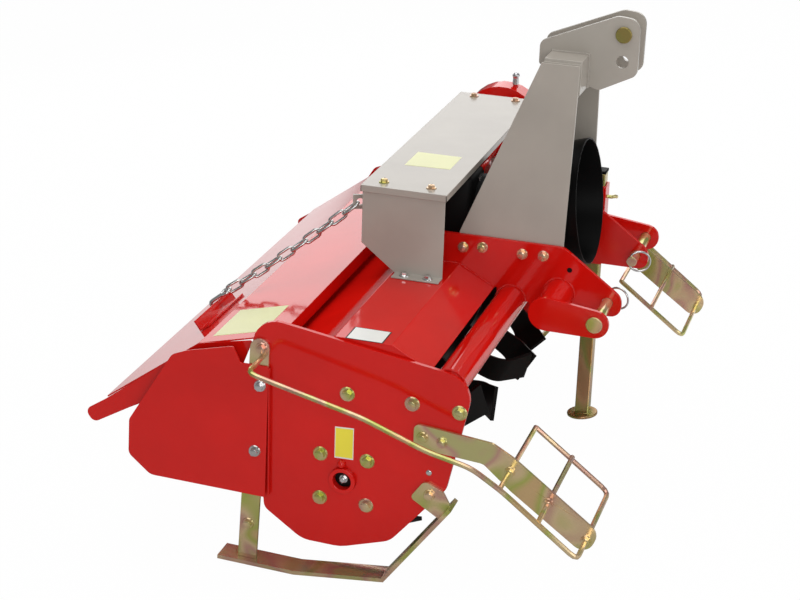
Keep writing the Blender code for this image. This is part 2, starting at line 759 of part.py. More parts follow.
def mast_inner_face(height):
    """Distance from the middle to a mast plate's inner face at a height."""
    foot = HITCH_SPREAD - HITCH_PLATE_THICKNESS - SEAM - MAST_THICKNESS
    top = MAST_TOP_SPREAD - MAST_THICKNESS
    share = max(0.0, (height - MAST_FOLD) / (MAST_TOP - MAST_FOLD))
    return foot + (top - foot) * share


def make_mast_plates():
    """Each plate is upright behind the hitch plate and leans inward above its fold."""
    rear_rise = (MAST_TOP_REAR - MAST_FOOT_REAR) / (MAST_TOP - MAST_FOLD)
    outline = [
        (MAST_FOOT_REAR, MAST_FOOT),
        (MAST_FOOT_FRONT, MAST_FOOT),
        (MAST_FOOT_FRONT, MAST_FOLD),
        (MAST_TOP_FRONT, MAST_TOP),
        (MAST_FOOT_REAR + rear_rise * (MAST_TOP - MAST_FOLD), MAST_TOP),
        (MAST_FOOT_REAR, MAST_FOLD),
    ]
    for side, sign in sides():
        face = HITCH_SPREAD - HITCH_PLATE_THICKNESS - SEAM
        piece = plate("mast_plate_" + side, [outline], sign * face, MAST_THICKNESS, GREY)
        form = bmesh.new()
        form.from_mesh(piece.data)
        place = piece.matrix_world.copy()
        form.transform(place)
        everything = form.verts[:] + form.edges[:] + form.faces[:]
        bmesh.ops.bisect_plane(form, geom=everything, plane_co=(0, 0, MAST_FOLD), plane_no=(0, 0, 1))
        for corner in form.verts:
            corner.co.x += sign * (mast_inner_face(corner.co.z) - mast_inner_face(MAST_FOLD))
        form.transform(place.inverted())
        form.to_mesh(piece.data)
        form.free()
        carry(piece, PARKED)


def make_mast_head():
    """A square tube across the mast's top, its ends cut to the plates' lean."""
    middle = (HEAD_TOP + HEAD_BOTTOM) / 2
    half = mast_inner_face(middle)
    piece = box("mast_head", (-half, HEAD_REAR, HEAD_BOTTOM), (half, HEAD_FRONT, HEAD_TOP), GREY)
    for corner in piece.data.vertices:
        height = corner.co.z + middle
        corner.co.x = math.copysign(mast_inner_face(height) - SEAM, corner.co.x)
    carry(piece, PARKED)


def make_clevis_plates():
    outline = rounded(from_shares(CLEVIS_CORNER_SHARES, CLEVIS_LENGTH, CLEVIS_REAR, HEAD_BOTTOM))
    slot = [
        (HEAD_REAR - SEAM, HEAD_BOTTOM - SEAM),
        (HEAD_FRONT + SEAM, HEAD_BOTTOM - SEAM),
        (HEAD_FRONT + SEAM, HEAD_TOP + SEAM),
        (HEAD_REAR - SEAM, HEAD_TOP + SEAM),
    ]
    for side, sign in sides():
        holes = [
            circle_points((TOP_LINK_FORWARD, TOP_LINK_HEIGHT), TOP_LINK_HOLE_RADIUS),
            circle_points((TOP_LINK_FORWARD, TOP_LINK_HEIGHT + TOP_LINK_STEP), TOP_LINK_PIN_RADIUS + SEAM),
        ]
        name = "clevis_plate_" + side
        piece = plate(name, [outline, *holes], sign * CLEVIS_SPREAD, CLEVIS_THICKNESS, GREY)
        carry(piece, PARKED)
        reach = CLEVIS_SPREAD + OVERRUN
        slot_cutter = profile_bar("head_slot_" + side, slot, -reach, reach, None)
        carry(slot_cutter, PARKED)
        cut(piece, slot_cutter)


def make_top_link_pin():
    reach = CLEVIS_SPREAD + SEAM
    head = reach + TOP_LINK_HEAD_THICKNESS
    profile = [
        (0, head),
        (TOP_LINK_HEAD_RADIUS, head),
        (TOP_LINK_HEAD_RADIUS, reach),
        (TOP_LINK_PIN_RADIUS, reach),
        (TOP_LINK_PIN_RADIUS, -reach),
        (TOP_LINK_HEAD_RADIUS, -reach),
        (TOP_LINK_HEAD_RADIUS, -head),
        (0, -head),
    ]
    piece = turned("top_link_pin", profile, GOLD)
    piece.location = (0, TOP_LINK_FORWARD, TOP_LINK_HEIGHT + TOP_LINK_STEP)
    carry(piece, PARKED)


def make_gearbox():
    low = (-GEARBOX_HALF_WIDTH, GEARBOX_REAR, HOOD_TOP + SEAM)
    piece = box("gearbox", low, (GEARBOX_HALF_WIDTH, GEARBOX_FRONT, GEARBOX_TOP), RED)
    round_edges(piece, GEARBOX_EDGE_RADIUS)
    carry(piece, PARKED)
    nose = turned("gearbox_nose", rod_profile(NOSE_RADIUS, -NOSE_RADIUS, NOSE_LENGTH), RED, axis="Y")
    nose.parent = INPUT_AXIS
    join(piece, nose)
    start = NOSE_LENGTH - SHAFT_SOCKET
    socket_profile = rod_profile(SHAFT_RADIUS + RUNNING_GAP, start - RUNNING_GAP, NOSE_LENGTH + OVERRUN)
    socket = turned("shaft_socket", socket_profile, None, axis="Y")
    socket.parent = INPUT_AXIS
    cut(piece, socket)


def make_pto_shield():
    """A cup round the input shaft, open to the tractor, with its back on the gearbox's nose."""
    back = NOSE_LENGTH + SEAM
    rim = back + SHIELD_LENGTH
    profile = [
        (SHIELD_RIM_RADIUS, rim),
        (SHIELD_BACK_RADIUS, back),
        (SHAFT_BORE_RADIUS, back),
        (SHAFT_BORE_RADIUS, back + SHIELD_WALL),
        (SHIELD_BACK_RADIUS - SHIELD_WALL, back + SHIELD_WALL),
        (SHIELD_RIM_RADIUS - SHIELD_WALL, rim),
    ]
    piece = turned("pto_shield", profile, BLACK, axis="Y")
    piece.parent = INPUT_AXIS


def make_pto_shaft():
    start = NOSE_LENGTH - SHAFT_SOCKET
    piece = turned("pto_shaft", rod_profile(SHAFT_RADIUS, start, NOSE_LENGTH + SHAFT_PROUD), SILVER, axis="Y")
    piece.parent = INPUT_AXIS


def case_outline():
    """Two round ends joined by their common tangents."""
    foot = Vector((0, 0))
    head = Vector((DRIVE_TUBE_BACK, DRIVE_TUBE_HEIGHT))
    along = head - foot
    tilt = math.atan2(along.y, along.x)
    lean = math.acos((CASE_FOOT_RADIUS - CASE_TOP_RADIUS) / along.length)
    round_foot = arc_points(foot, CASE_FOOT_RADIUS, tilt + lean, tilt + math.tau - lean)
    round_head = arc_points(head, CASE_TOP_RADIUS, tilt - lean, tilt + lean)
    return round_foot + round_head


def make_side_gear_case():
    right = -HALF_WIDTH - SEAM
    piece = profile_bar("side_gear_case", case_outline(), right - CASE_THICKNESS, right, RED)
    carry(piece, PARKED)
    breather_top = CASE_TOP_RADIUS + BREATHER_HEIGHT
    breather_profile = rod_profile(BREATHER_RADIUS, CASE_TOP_RADIUS - BREATHER_HEIGHT, breather_top)
    breather = turned("breather", breather_profile, SILVER, axis="Z")
    breather.location = (right - CASE_THICKNESS / 2, DRIVE_TUBE_BACK + BREATHER_FORWARD, DRIVE_TUBE_HEIGHT)
    carry(breather, PARKED)
    join(piece, breather)
    stub_end = ROTOR_TUBE_HALF_LENGTH + STUB_LENGTH + RUNNING_GAP
    bore = turned("case_bore", rod_profile(STUB_RADIUS + RUNNING_GAP, -stub_end, right + OVERRUN), None)
    carry(bore, PARKED)
    cut(piece, bore)


def make_drive_tube():
    ends = (-HALF_WIDTH, -GEARBOX_HALF_WIDTH - SEAM)
    piece = turned("drive_tube", rod_profile(DRIVE_TUBE_RADIUS, *ends), RED)
    piece.location = (0, DRIVE_TUBE_BACK, DRIVE_TUBE_HEIGHT)
    carry(piece, PARKED)


def make_bearing_hub():
    """A flange inside the right end plate, with a boss through the plate and a bore for the rotor's stub."""
    inner = END_PLATE_INSIDE - SEAM - HUB_FLANGE_THICKNESS
    shoulder = END_PLATE_INSIDE - SEAM
    boss = BEARING_HOLE_RADIUS - SEAM
    bore = STUB_RADIUS + RUNNING_GAP
    profile = [
        (boss, HALF_WIDTH + HUB_BOSS_PROUD),
        (boss, shoulder),
        (HUB_FLANGE_RADIUS, shoulder),
        (HUB_FLANGE_RADIUS, inner),
        (bore, inner),
        (bore, HALF_WIDTH + HUB_BOSS_PROUD),
    ]
    carry(turned("bearing_hub", profile, RED), PARKED)


def make_guard():
    """A sheet lid over the drive line: top, rear and two end faces, open to the front and below."""
    foot = HOOD_TOP + SEAM
    outline = [
        (GUARD_REAR, GUARD_CHIN),
        (GUARD_HEEL, foot),
        (GUARD_FRONT, foot),
        (GUARD_FRONT, GUARD_TOP),
        (GUARD_REAR, GUARD_TOP),
    ]
    piece = profile_bar("guard", outline, GUARD_LEFT, GUARD_RIGHT, GREY)
    carry(piece, PARKED)
    hollow = [
        (GUARD_REAR + GUARD_WALL, foot - OVERRUN),
        (GUARD_FRONT + OVERRUN, foot - OVERRUN),
        (GUARD_FRONT + OVERRUN, GUARD_TOP - GUARD_WALL),
        (GUARD_REAR + GUARD_WALL, GUARD_TOP - GUARD_WALL),
    ]
    cutter = profile_bar("guard_hollow", hollow, GUARD_LEFT + GUARD_WALL, GUARD_RIGHT - GUARD_WALL, None)
    carry(cutter, PARKED)
    cut(piece, cutter)
    hole_radius = DRIVE_TUBE_RADIUS + GUARD_HOLE_GAP
    hole_profile = rod_profile(hole_radius, GUARD_LEFT - OVERRUN, GUARD_LEFT + GUARD_WALL + OVERRUN)
    hole = turned("guard_hole", hole_profile, None)
    hole.location = (0, DRIVE_TUBE_BACK, DRIVE_TUBE_HEIGHT)
    carry(hole, PARKED)
    cut(piece, hole)
    reach = GUARD_RIGHT - GUARD_WALL / 2
    foot_plate = box(
        "guard_foot",
        (reach, GUARD_HEEL, foot),
        (GUARD_RIGHT + GUARD_FOOT_REACH, GUARD_FRONT, foot + GUARD_WALL),
        None,
    )
    carry(foot_plate, PARKED)
    join(piece, foot_plate)


def make_hinge_rod():
    reach = END_PLATE_INSIDE - SEAM
    piece = turned("tailboard_hinge_rod", rod_profile(HINGE_ROD_RADIUS, -reach, reach), GOLD)
    piece.location = (0, HINGE_BACK, HINGE_HEIGHT)
    carry(piece, PARKED)


def make_tailboard():
    upper = [
        (TAILBOARD_REAR, TAILBOARD_REAR_HEIGHT),
        (TAILBOARD_FOLD, TAILBOARD_FOLD_HEIGHT),
        (TAILBOARD_FRONT, TAILBOARD_FRONT_HEIGHT),
        (TAILBOARD_FRONT, TAILBOARD_FRONT_HEIGHT - TAILBOARD_LIP),
    ]
    profile = folded_sheet(upper, TAILBOARD_THICKNESS)
    piece = profile_bar("tailboard", profile, -TAILBOARD_HALF_WIDTH, TAILBOARD_HALF_WIDTH, RED)
    carry(piece, TAILBOARD_AXIS)
    slope = (TAILBOARD_FRONT_HEIGHT - TAILBOARD_FOLD_HEIGHT) / (TAILBOARD_FRONT - TAILBOARD_FOLD)
    sheet_middle = TAILBOARD_FRONT_HEIGHT + slope * (HINGE_BACK - TAILBOARD_FRONT) - TAILBOARD_THICKNESS / 2
    for place, middle in (("left", -KNUCKLE_SPREAD), ("middle", 0), ("right", KNUCKLE_SPREAD)):
        ends = (middle - KNUCKLE_LENGTH / 2, middle + KNUCKLE_LENGTH / 2)
        knuckle = turned("knuckle_" + place, rod_profile(KNUCKLE_RADIUS, *ends), None)
        knuckle.location = (0, HINGE_BACK, HINGE_HEIGHT)
        carry(knuckle, TAILBOARD_AXIS)
        join(piece, knuckle)
        web = box(
            "knuckle_web_" + place,
            (ends[0], HINGE_BACK - KNUCKLE_RADIUS / 2, HINGE_HEIGHT),
            (ends[1], HINGE_BACK + KNUCKLE_RADIUS / 2, sheet_middle),
            None,
        )
        carry(web, TAILBOARD_AXIS)
        join(piece, web)
    reach = KNUCKLE_SPREAD + KNUCKLE_LENGTH
    bore = turned("knuckle_bore", rod_profile(HINGE_ROD_RADIUS + RUNNING_GAP, -reach, reach), None)
    bore.location = (0, HINGE_BACK, HINGE_HEIGHT)
    carry(bore, TAILBOARD_AXIS)
    cut(piece, bore)


def make_tailboard_cheeks():
    """The upright plates that close the tailboard's ends."""
    shares = [(back, -down, radius) for back, down, radius in CHEEK_CORNER_SHARES]
    corners = from_shares(shares, CHEEK_LENGTH, TAILBOARD_FRONT, TAILBOARD_FRONT_HEIGHT, mirror=-1)
    for side, sign in sides():
        face = TAILBOARD_HALF_WIDTH + SEAM + CHEEK_THICKNESS
        piece = plate("tailboard_cheek_" + side, [rounded(corners)], sign * face, CHEEK_THICKNESS, RED)
        carry(piece, TAILBOARD_AXIS)


def make_chain_bracket():
    """A folded strip on the tailboard's rear plane, square to it."""
    run = TAILBOARD_RUN
    square = TAILBOARD_SQUARE
    profile = [
        BRACKET_FOOT,
        BRACKET_FOOT + square * BRACKET_HEIGHT,
        BRACKET_FOOT + square * BRACKET_HEIGHT + run * BRACKET_THICKNESS,
        BRACKET_FOOT + square * BRACKET_THICKNESS + run * BRACKET_THICKNESS,
        BRACKET_FOOT + square * BRACKET_THICKNESS + run * BRACKET_HEIGHT,
        BRACKET_FOOT + run * BRACKET_HEIGHT,
    ]
    outline = [tuple(point) for point in reversed(profile)]
    piece = profile_bar("chain_bracket", outline, BRACKET_LEFT, BRACKET_LEFT + BRACKET_LENGTH, RED)
    carry(piece, TAILBOARD_AXIS)


def make_chain_anchor():
    """A lug on the guard's rear face, in line with the chain, with a hole for its first link."""
    half = LUG_WIDTH / 2
    rear = LUG_WIDTH - LUG_REACH
    corner = (LUG_THICKNESS / 2, LUG_WIDTH, half)
    piece = box("chain_anchor", (-LUG_THICKNESS / 2, -rear, -half), corner, GREY)
    piece.parent = CHAIN_AXIS
    hole = turned("lug_hole", rod_profile(LUG_HOLE_RADIUS, -LUG_THICKNESS, LUG_THICKNESS), None)
    hole.parent = CHAIN_AXIS
    cut(piece, hole)
    low = (CHAIN_ANCHOR_RIGHT - LUG_WIDTH, GUARD_REAR - SEAM, CHAIN_ANCHOR_HEIGHT - LUG_WIDTH)
    high = (CHAIN_ANCHOR_RIGHT + LUG_WIDTH, LUG_WIDTH, CHAIN_ANCHOR_HEIGHT + LUG_WIDTH)
    guard_side = box("guard_side", low, high, None)
    carry(guard_side, PARKED)
    cut(piece, guard_side)


def link_points(start, end, half_width, wire_radius, flat):
    """The centre line of a link that spans from start to end inside, flat or on edge."""
    along = (end - start).normalized()
    aside = Vector((1, 0, 0)) if flat else along.cross(Vector((1, 0, 0)))
    straight = max(0, (end - start).length / 2 + wire_radius - half_width)
    middle = (start + end) / 2
    points = []
    for way in (1, -1):
        for step in range(CHAIN_LINK_STEPS + 1):
            turn = math.pi * (step / CHAIN_LINK_STEPS - 1 / 2)
            out = along * (straight + half_width * math.cos(turn)) + aside * (half_width * math.sin(turn))
            points.append(middle + out * way)
    return points


def make_chain():
    """Ten links and a hook in the upright plane of the chain's axis, hung between the lug and the bracket."""
    reach = math.hypot(CHAIN_HOOK_RIGHT - CHAIN_ANCHOR_RIGHT, CHAIN_AXIS_BACK - HOOK_BACK)
    hook = Vector((0, -reach, HOOK_HEIGHT - CHAIN_ANCHOR_HEIGHT))
    along = hook.normalized()
    first = along * (LUG_HOLE_RADIUS - CHAIN_SEAT)
    last = hook - along * (HOOK_SHANK + HOOK_EYE_LENGTH)
    joints = []
    for step in range(CHAIN_LINKS + 1):
        share = step / CHAIN_LINKS
        sag = Vector((0, 0, 4 * CHAIN_SAG * share * (1 - share)))
        joints.append(first.lerp(last, share) - sag)
    joints.append(last + along * HOOK_EYE_LENGTH)
    pieces = []
    for number, (start, end) in enumerate(zip(joints, joints[1:])):
        eye = number == CHAIN_LINKS
        half_width = HOOK_EYE_HALF_WIDTH if eye else CHAIN_LINK_HALF_WIDTH
        wire_radius = HOOK_WIRE_RADIUS if eye else CHAIN_WIRE_RADIUS
        end = end if eye else end - (end - start).normalized() * CHAIN_BITE
        points = link_points(start, end, half_width, wire_radius, number % 2 == 0)
        name = "chain" if not number else "link_" + str(number)
        pieces.append(wire(name, points, wire_radius, SILVER, closed=True))
    down = along.cross(Vector((1, 0, 0)))
    down = down if down.z < 0 else -down
    throat = BRACKET_THICKNESS + HOOK_WIRE_RADIUS
    bend = hook + along * (throat + HOOK_WIRE_RADIUS)
    root = joints[-1] + along * HOOK_WIRE_RADIUS
    shank = bent([root, bend, bend + down * HOOK_DROP], throat, ROD_BEND_STEPS)
    pieces.append(wire("hook_shank", shank, HOOK_WIRE_RADIUS, SILVER))
    solids = [as_mesh(piece) for piece in pieces]
    for solid in solids:
        solid.parent = CHAIN_AXIS
    for solid in solids[1:]:
        join(solids[0], solid)


def make_skids():
    """A flat bar under each end plate, raised at both ends, with a tab for the front bolt."""
    flat_rear = (SKID_FLAT_REAR, ground_height(SKID_FLAT_REAR) + SKID_THICKNESS)
    flat_front = (SKID_FLAT_FRONT, ground_height(SKID_FLAT_FRONT) + SKID_THICKNESS)
    tip = (SKID_TIP_BACK, ground_height(SKID_TIP_BACK) + SKID_THICKNESS + SKID_TIP_RISE)
    nose = (SKID_NOSE_FORWARD, SKID_NOSE_HEIGHT)
    profile = folded_sheet([tip, flat_rear, flat_front, nose], SKID_THICKNESS)
    tab_corners = from_shares(TAB_CORNER_SHARES, TAB_LENGTH, TAB_REAR, 0)
    for side, sign in sides():
        middle = sign * SKID_CENTRE
        piece = profile_bar("skid_" + side, profile, middle - SKID_WIDTH / 2, middle + SKID_WIDTH / 2, GOLD)
        carry(piece, PARKED)
        face = HALF_WIDTH + SEAM + TAB_THICKNESS
        tab = plate("skid_tab_" + side, [rounded(tab_corners)], sign * face, TAB_THICKNESS, None)
        carry(tab, PARKED)
        join(piece, tab)


def skid_top(back):
    """Height of a skid's upper face behind its flat."""
    share = (SKID_FLAT_REAR - back) / (SKID_FLAT_REAR - SKID_TIP_BACK)
    return ground_height(back) + SKID_THICKNESS + SKID_TIP_RISE * share


def make_skid_straps():
    """A flat bar down the rear edge of each end plate to the skid."""
    half = STRAP_WIDTH / 2
    foot_front = STRAP_BOLT_BACK + half
    foot_rear = STRAP_BOLT_BACK - half
    corners = [
        (STRAP_TOP_BACK - half, STRAP_TOP_HEIGHT, half),
        (STRAP_TOP_BACK + half, STRAP_TOP_HEIGHT, half),
        (foot_front, skid_top(foot_front) + SEAM, 0),
        (foot_rear, skid_top(foot_rear) + SEAM, 0),
    ]
    for side, sign in sides():
        face = HALF_WIDTH + SEAM + STRAP_THICKNESS
        piece = plate("skid_strap_" + side, [rounded(corners)], sign * face, STRAP_THICKNESS, GOLD)
        carry(piece, PARKED)


def make_side_shields():
    corners = from_shares(SHIELD_CORNER_SHARES, SHIELD_DEPTH, SHIELD_FRONT, 0, mirror=-1)
    for side, sign in sides():
        face = HALF_WIDTH + STRAP_THICKNESS + 2 * SEAM + SHIELD_SHEET
        piece = plate("side_shield_" + side, [rounded(corners)], sign * face, SHIELD_SHEET, RED)
        carry(piece, PARKED)


def make_guard_bars():
    """A bar bolted to each end plate, with a frame of round rod welded through it."""
    corners = from_shares(BAR_CORNER_SHARES, BAR_LENGTH, BAR_REAR, 0)
    for side, sign in sides():
        face = HALF_WIDTH + SEAM + BAR_THICKNESS
        piece = plate("guard_bar_" + side, [rounded(corners)], sign * face, BAR_THICKNESS, GOLD)
        carry(piece, PARKED)
        outer = sign * (face + ROD_OUTREACH)
        inner = sign * (face - ROD_INREACH)
        cross_places = [(BAR_REAR + f * BAR_LENGTH, u * BAR_LENGTH) for f, u in CROSS_ROD_SHARES]
        rail = [(outer, BAR_REAR + f * BAR_LENGTH, u * BAR_LENGTH) for f, u in RAIL_SHARES]
        rail_root = (sign * (HALF_WIDTH + STRAP_THICKNESS + 2 * SEAM), rail[0][1], rail[0][2])
        inner_leg = [(inner, *cross_places[-1]), (inner, *cross_places[0])]
        path = bent([rail_root, *rail, *inner_leg], ROD_BEND, ROD_BEND_STEPS)
        rods = [path, *([(outer, *place), (inner, *place)] for place in cross_places[:-1])]
        for number, points in enumerate(rods):
            rod = as_mesh(wire("rod_" + side + "_" + str(number), points, ROD_RADIUS, None))
            carry(rod, PARKED)
            join(piece, rod)


def make_leg_sleeve():
    half = LEG_SIDE / 2 + SLEEVE_GAP + SLEEVE_WALL
    forward = OUTER_BOSS_FORWARD - LEG_BACK_OFFSET
    low = (LEG_RIGHT - half, forward - half, SLEEVE_BOTTOM)
    piece = box("leg_sleeve", low, (LEG_RIGHT + half, forward + half, SLEEVE_TOP), RED)
    carry(piece, PARKED)
    cut(piece, leg_channel("leg_channel", LEG_SIDE / 2 + SLEEVE_GAP))


def make_parking_leg():
    """A square tube with a round foot that lies flat on the floor."""
    half = LEG_SIDE / 2
    forward = OUTER_BOSS_FORWARD - LEG_BACK_OFFSET
    floor = ground_height(forward)
    low = (LEG_RIGHT - half, forward - half, floor + LEG_FOOT_THICKNESS / 2)
    piece = box("parking_leg", low, (LEG_RIGHT + half, forward + half, LEG_TOP), GOLD)
    carry(piece, LEG_AXIS)
    foot = turned("leg_foot", rod_profile(LEG_FOOT_RADIUS, 0, LEG_FOOT_THICKNESS), None, axis="Z")
    foot.rotation_euler = (PARK_PITCH, 0, 0)
    foot.location = (LEG_RIGHT, forward, floor)
    carry(foot, LEG_AXIS)
    join(piece, foot)


def make_rotor_tube():
    tube = ROTOR_TUBE_HALF_LENGTH
    stub = tube + STUB_LENGTH
    right_stub = tube + STUB_RIGHT_LENGTH
    profile = [
        (0, right_stub),
        (STUB_RADIUS, right_stub),
        (STUB_RADIUS, tube),
        (ROTOR_TUBE_RADIUS, tube),
        (ROTOR_TUBE_RADIUS, -tube),
        (STUB_RADIUS, -tube),
        (STUB_RADIUS, -stub),
        (0, -stub),
    ]
    carry(turned("rotor_tube", profile, BLACK), ROTOR_AXIS)


def blade_sections(bend):
    """Cross-sections of a blade that stands along +Z and widens outward, its wing bent to bend x X."""
    edge = BLADE_WING_WIDTH / 2 + BLADE_SWEEP
    crown = math.sqrt(TINE_TIP_RADIUS**2 - edge**2) - BLADE_THICKNESS / 2
    bend_side = BLADE_BEND_RADIUS * (1 - math.cos(BLADE_BEND))
    wing_rise = (BLADE_WING_REACH - bend_side) / math.tan(BLADE_BEND)
    knee = crown - wing_rise - BLADE_BEND_RADIUS * math.sin(BLADE_BEND)
    path = [((0, BLADE_ROOT_RADIUS), 0.0)]
    for step in range(1, BLADE_STEPS):
        path.append(((0, BLADE_ROOT_RADIUS + (knee - BLADE_ROOT_RADIUS) * step / BLADE_STEPS), 0.0))
    for step in range(BLADE_STEPS + 1):
        turn = BLADE_BEND * step / BLADE_STEPS
        side = BLADE_BEND_RADIUS * (1 - math.cos(turn))
        path.append(((side, knee + BLADE_BEND_RADIUS * math.sin(turn)), turn))
    path.append(((BLADE_WING_REACH, crown), BLADE_BEND))
    sections = []
    for number, ((side, up), turn) in enumerate(path):
        share = min(1.0, (up - BLADE_ROOT_RADIUS) / (crown - BLADE_ROOT_RADIUS))
        half_width = (BLADE_ROOT_WIDTH + (BLADE_WING_WIDTH - BLADE_ROOT_WIDTH) * share) / 2
        across = Vector((math.cos(turn), 0, -math.sin(turn))) * (BLADE_THICKNESS / 2)
        centre = Vector((side, -BLADE_SWEEP * share**2, up))
        width = Vector((0, half_width, 0))
        cut_off = BLADE_TIP_CUT if number == len(path) - 1 else 0
        short = Vector((math.sin(turn), 0, math.cos(turn))) * cut_off
        ring = [
            centre - across - width - short,
            centre + across - width - short,
            centre + across + width,
            centre - across + width,
        ]
        sections.append([Vector((bend * corner.x, corner.y, corner.z)) for corner in ring])
    return sections


def loft(form, sections, turn):
    """Closes a skin over four-cornered sections, turned about the X axis."""
    spin = Matrix.Rotation(turn, 4, "X")
    rings = [[form.verts.new(spin @ corner) for corner in section] for section in sections]
    for before, after in zip(rings, rings[1:]):
        for index in range(len(before)):
            following = (index + 1) % len(before)
            form.faces.new((before[index], before[following], after[following], after[index]))
    form.faces.new(rings[0][::-1])
    form.faces.new(rings[-1])


def make_tine_rings():
    """A flange on the rotor tube with its blades, the end rings' blades all bent inward."""
    for ring in range(TINE_RINGS):
        place = -TINE_RING_SPREAD + 2 * TINE_RING_SPREAD * ring / (TINE_RINGS - 1)
        half = FLANGE_THICKNESS / 2
        profile = rod_profile(FLANGE_RADIUS, -half, half, bore=ROTOR_TUBE_RADIUS + SEAM)
        piece = turned("tine_ring_" + str(ring + 1), profile, STEEL)
        piece.location = (place, 0, 0)
        carry(piece, ROTOR_AXIS)
        for blade in range(BLADES_PER_RING):
            bend = 1 if (blade + ring) % 2 else -1
            if ring == 0:
                bend = 1
            if ring == TINE_RINGS - 1:
                bend = -1
            mesh = bpy.data.meshes.new("blade")
            form = bmesh.new()
            turn = TINE_RING_START + ring * TINE_RING_TURN + math.tau * blade / BLADES_PER_RING
            loft(form, blade_sections(bend), turn)
            bmesh.ops.recalc_face_normals(form, faces=form.faces)
            form.to_mesh(mesh)
            form.free()
            solid = add_object("blade_" + str(ring + 1) + "_" + str(blade + 1), mesh, None)
            solid.location = (place, 0, 0)
            carry(solid, ROTOR_AXIS)
            join(piece, solid)


def stand_on_floor():
    """Turns the machine to its parked pitch and puts the middle of its foot print at the origin."""
    PARKED.rotation_euler = (-PARK_PITCH, 0, 0)
    bpy.context.view_layer.update()
    graph = bpy.context.evaluated_depsgraph_get()
    corners = []
    for piece in MACHINE.objects:
        if piece.type == "EMPTY":
            continue
        solid = piece.evaluated_get(graph)
        mesh = solid.to_mesh()
        corners.extend(piece.matrix_world @ corner.co for corner in mesh.vertices)
        solid.to_mesh_clear()
    low = Vector(min(corner[axis] for corner in corners) for axis in range(3))
    high = Vector(max(corner[axis] for corner in corners) for axis in range(3))
    middle = (low + high) / 2
    PARKED.location = (-middle.x, -middle.y, -low.z)
    bpy.context.view_layer.update()


make_end_plates()
make_hood()
make_front_tube()
make_hitch_plates()
make_outer_hitch_plates()
make_hitch_pins()
make_mast_plates()
make_mast_head()
make_clevis_plates()
make_top_link_pin()
make_gearbox()
make_pto_shield()
make_pto_shaft()
make_side_gear_case()
make_drive_tube()
make_bearing_hub()
make_guard()
make_hinge_rod()
make_tailboard()
make_tailboard_cheeks()
make_chain_bracket()
make_chain_anchor()
make_chain()
make_skids()
make_skid_straps()
make_side_shields()
make_guard_bars()
make_leg_sleeve()
make_parking_leg()
make_rotor_tube()
make_tine_rings()
stand_on_floor()
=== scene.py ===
"""Looks of the rotary tiller: each section dresses a piece or like pieces, in order of assembly."""

import json
import math

import bmesh
import bpy
from mathutils import Matrix, Vector

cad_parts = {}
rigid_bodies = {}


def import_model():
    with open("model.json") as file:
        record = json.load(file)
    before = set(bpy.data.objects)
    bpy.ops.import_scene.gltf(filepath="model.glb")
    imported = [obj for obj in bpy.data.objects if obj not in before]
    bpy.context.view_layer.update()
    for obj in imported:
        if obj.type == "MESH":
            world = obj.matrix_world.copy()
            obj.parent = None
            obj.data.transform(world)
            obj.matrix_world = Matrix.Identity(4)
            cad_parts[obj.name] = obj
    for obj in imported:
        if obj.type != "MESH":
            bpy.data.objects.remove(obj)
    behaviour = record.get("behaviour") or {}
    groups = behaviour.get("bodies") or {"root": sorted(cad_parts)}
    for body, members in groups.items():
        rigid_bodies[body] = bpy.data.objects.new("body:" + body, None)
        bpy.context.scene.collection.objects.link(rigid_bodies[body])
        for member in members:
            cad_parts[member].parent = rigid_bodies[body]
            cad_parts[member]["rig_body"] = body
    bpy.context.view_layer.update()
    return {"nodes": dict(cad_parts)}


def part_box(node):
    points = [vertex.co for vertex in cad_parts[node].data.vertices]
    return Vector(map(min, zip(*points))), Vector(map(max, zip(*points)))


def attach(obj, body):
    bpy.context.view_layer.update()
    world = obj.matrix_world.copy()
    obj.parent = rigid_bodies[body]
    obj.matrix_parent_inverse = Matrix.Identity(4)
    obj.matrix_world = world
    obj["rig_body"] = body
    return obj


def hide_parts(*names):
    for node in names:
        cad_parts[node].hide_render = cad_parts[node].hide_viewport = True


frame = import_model()

# The studio: a seamless white table under an overhead softbox, two wide lights beyond the machine's left end,
# which its glossy sheets mirror, and two lights in front. In mirrors the table is bright only on the left.
# The camera stands to the right, a little in front, at head height, with a long lens.
FLOOR_HALF = 30.0
SEEN_SHARE = 0.985
MIRRORED_FROM, MIRRORED_TO = -3.6, 0.6
MIRRORED_ENDS = (0.20, 0.42)
MIRRORED_BRIGHT = 0.95
BRIGHT_STOPS = (0.16, 0.58)
floor_mesh = bpy.data.meshes.new("studio_floor")
floor_form = bmesh.new()
bmesh.ops.create_grid(floor_form, x_segments=1, y_segments=1, size=FLOOR_HALF)
floor_form.to_mesh(floor_mesh)
floor_form.free()
floor = bpy.data.objects.new("studio_floor", floor_mesh)
bpy.context.scene.collection.objects.link(floor)
floor_paper = bpy.data.materials.new("white_paper")
floor_paper.use_nodes = True
nodes, links = floor_paper.node_tree.nodes, floor_paper.node_tree.links
nodes.clear()
paper = nodes.new("ShaderNodeBsdfDiffuse")
paper.inputs["Color"].default_value = (0.86, 0.86, 0.86, 1)
glow = nodes.new("ShaderNodeEmission")
glow.inputs["Color"].default_value = (1, 1, 1, 1)
rays = nodes.new("ShaderNodeLightPath")
for_camera = nodes.new("ShaderNodeMath")
for_camera.operation = "MULTIPLY"
for_camera.inputs[1].default_value = SEEN_SHARE
links.new(rays.outputs["Is Camera Ray"], for_camera.inputs[0])
seen_paper = nodes.new("ShaderNodeMixShader")
links.new(for_camera.outputs[0], seen_paper.inputs[0])
links.new(paper.outputs[0], seen_paper.inputs[1])
links.new(glow.outputs[0], seen_paper.inputs[2])
place = nodes.new("ShaderNodeTexCoord")
apart = nodes.new("ShaderNodeSeparateXYZ")
links.new(place.outputs["Object"], apart.inputs[0])
spread = nodes.new("ShaderNodeMapRange")
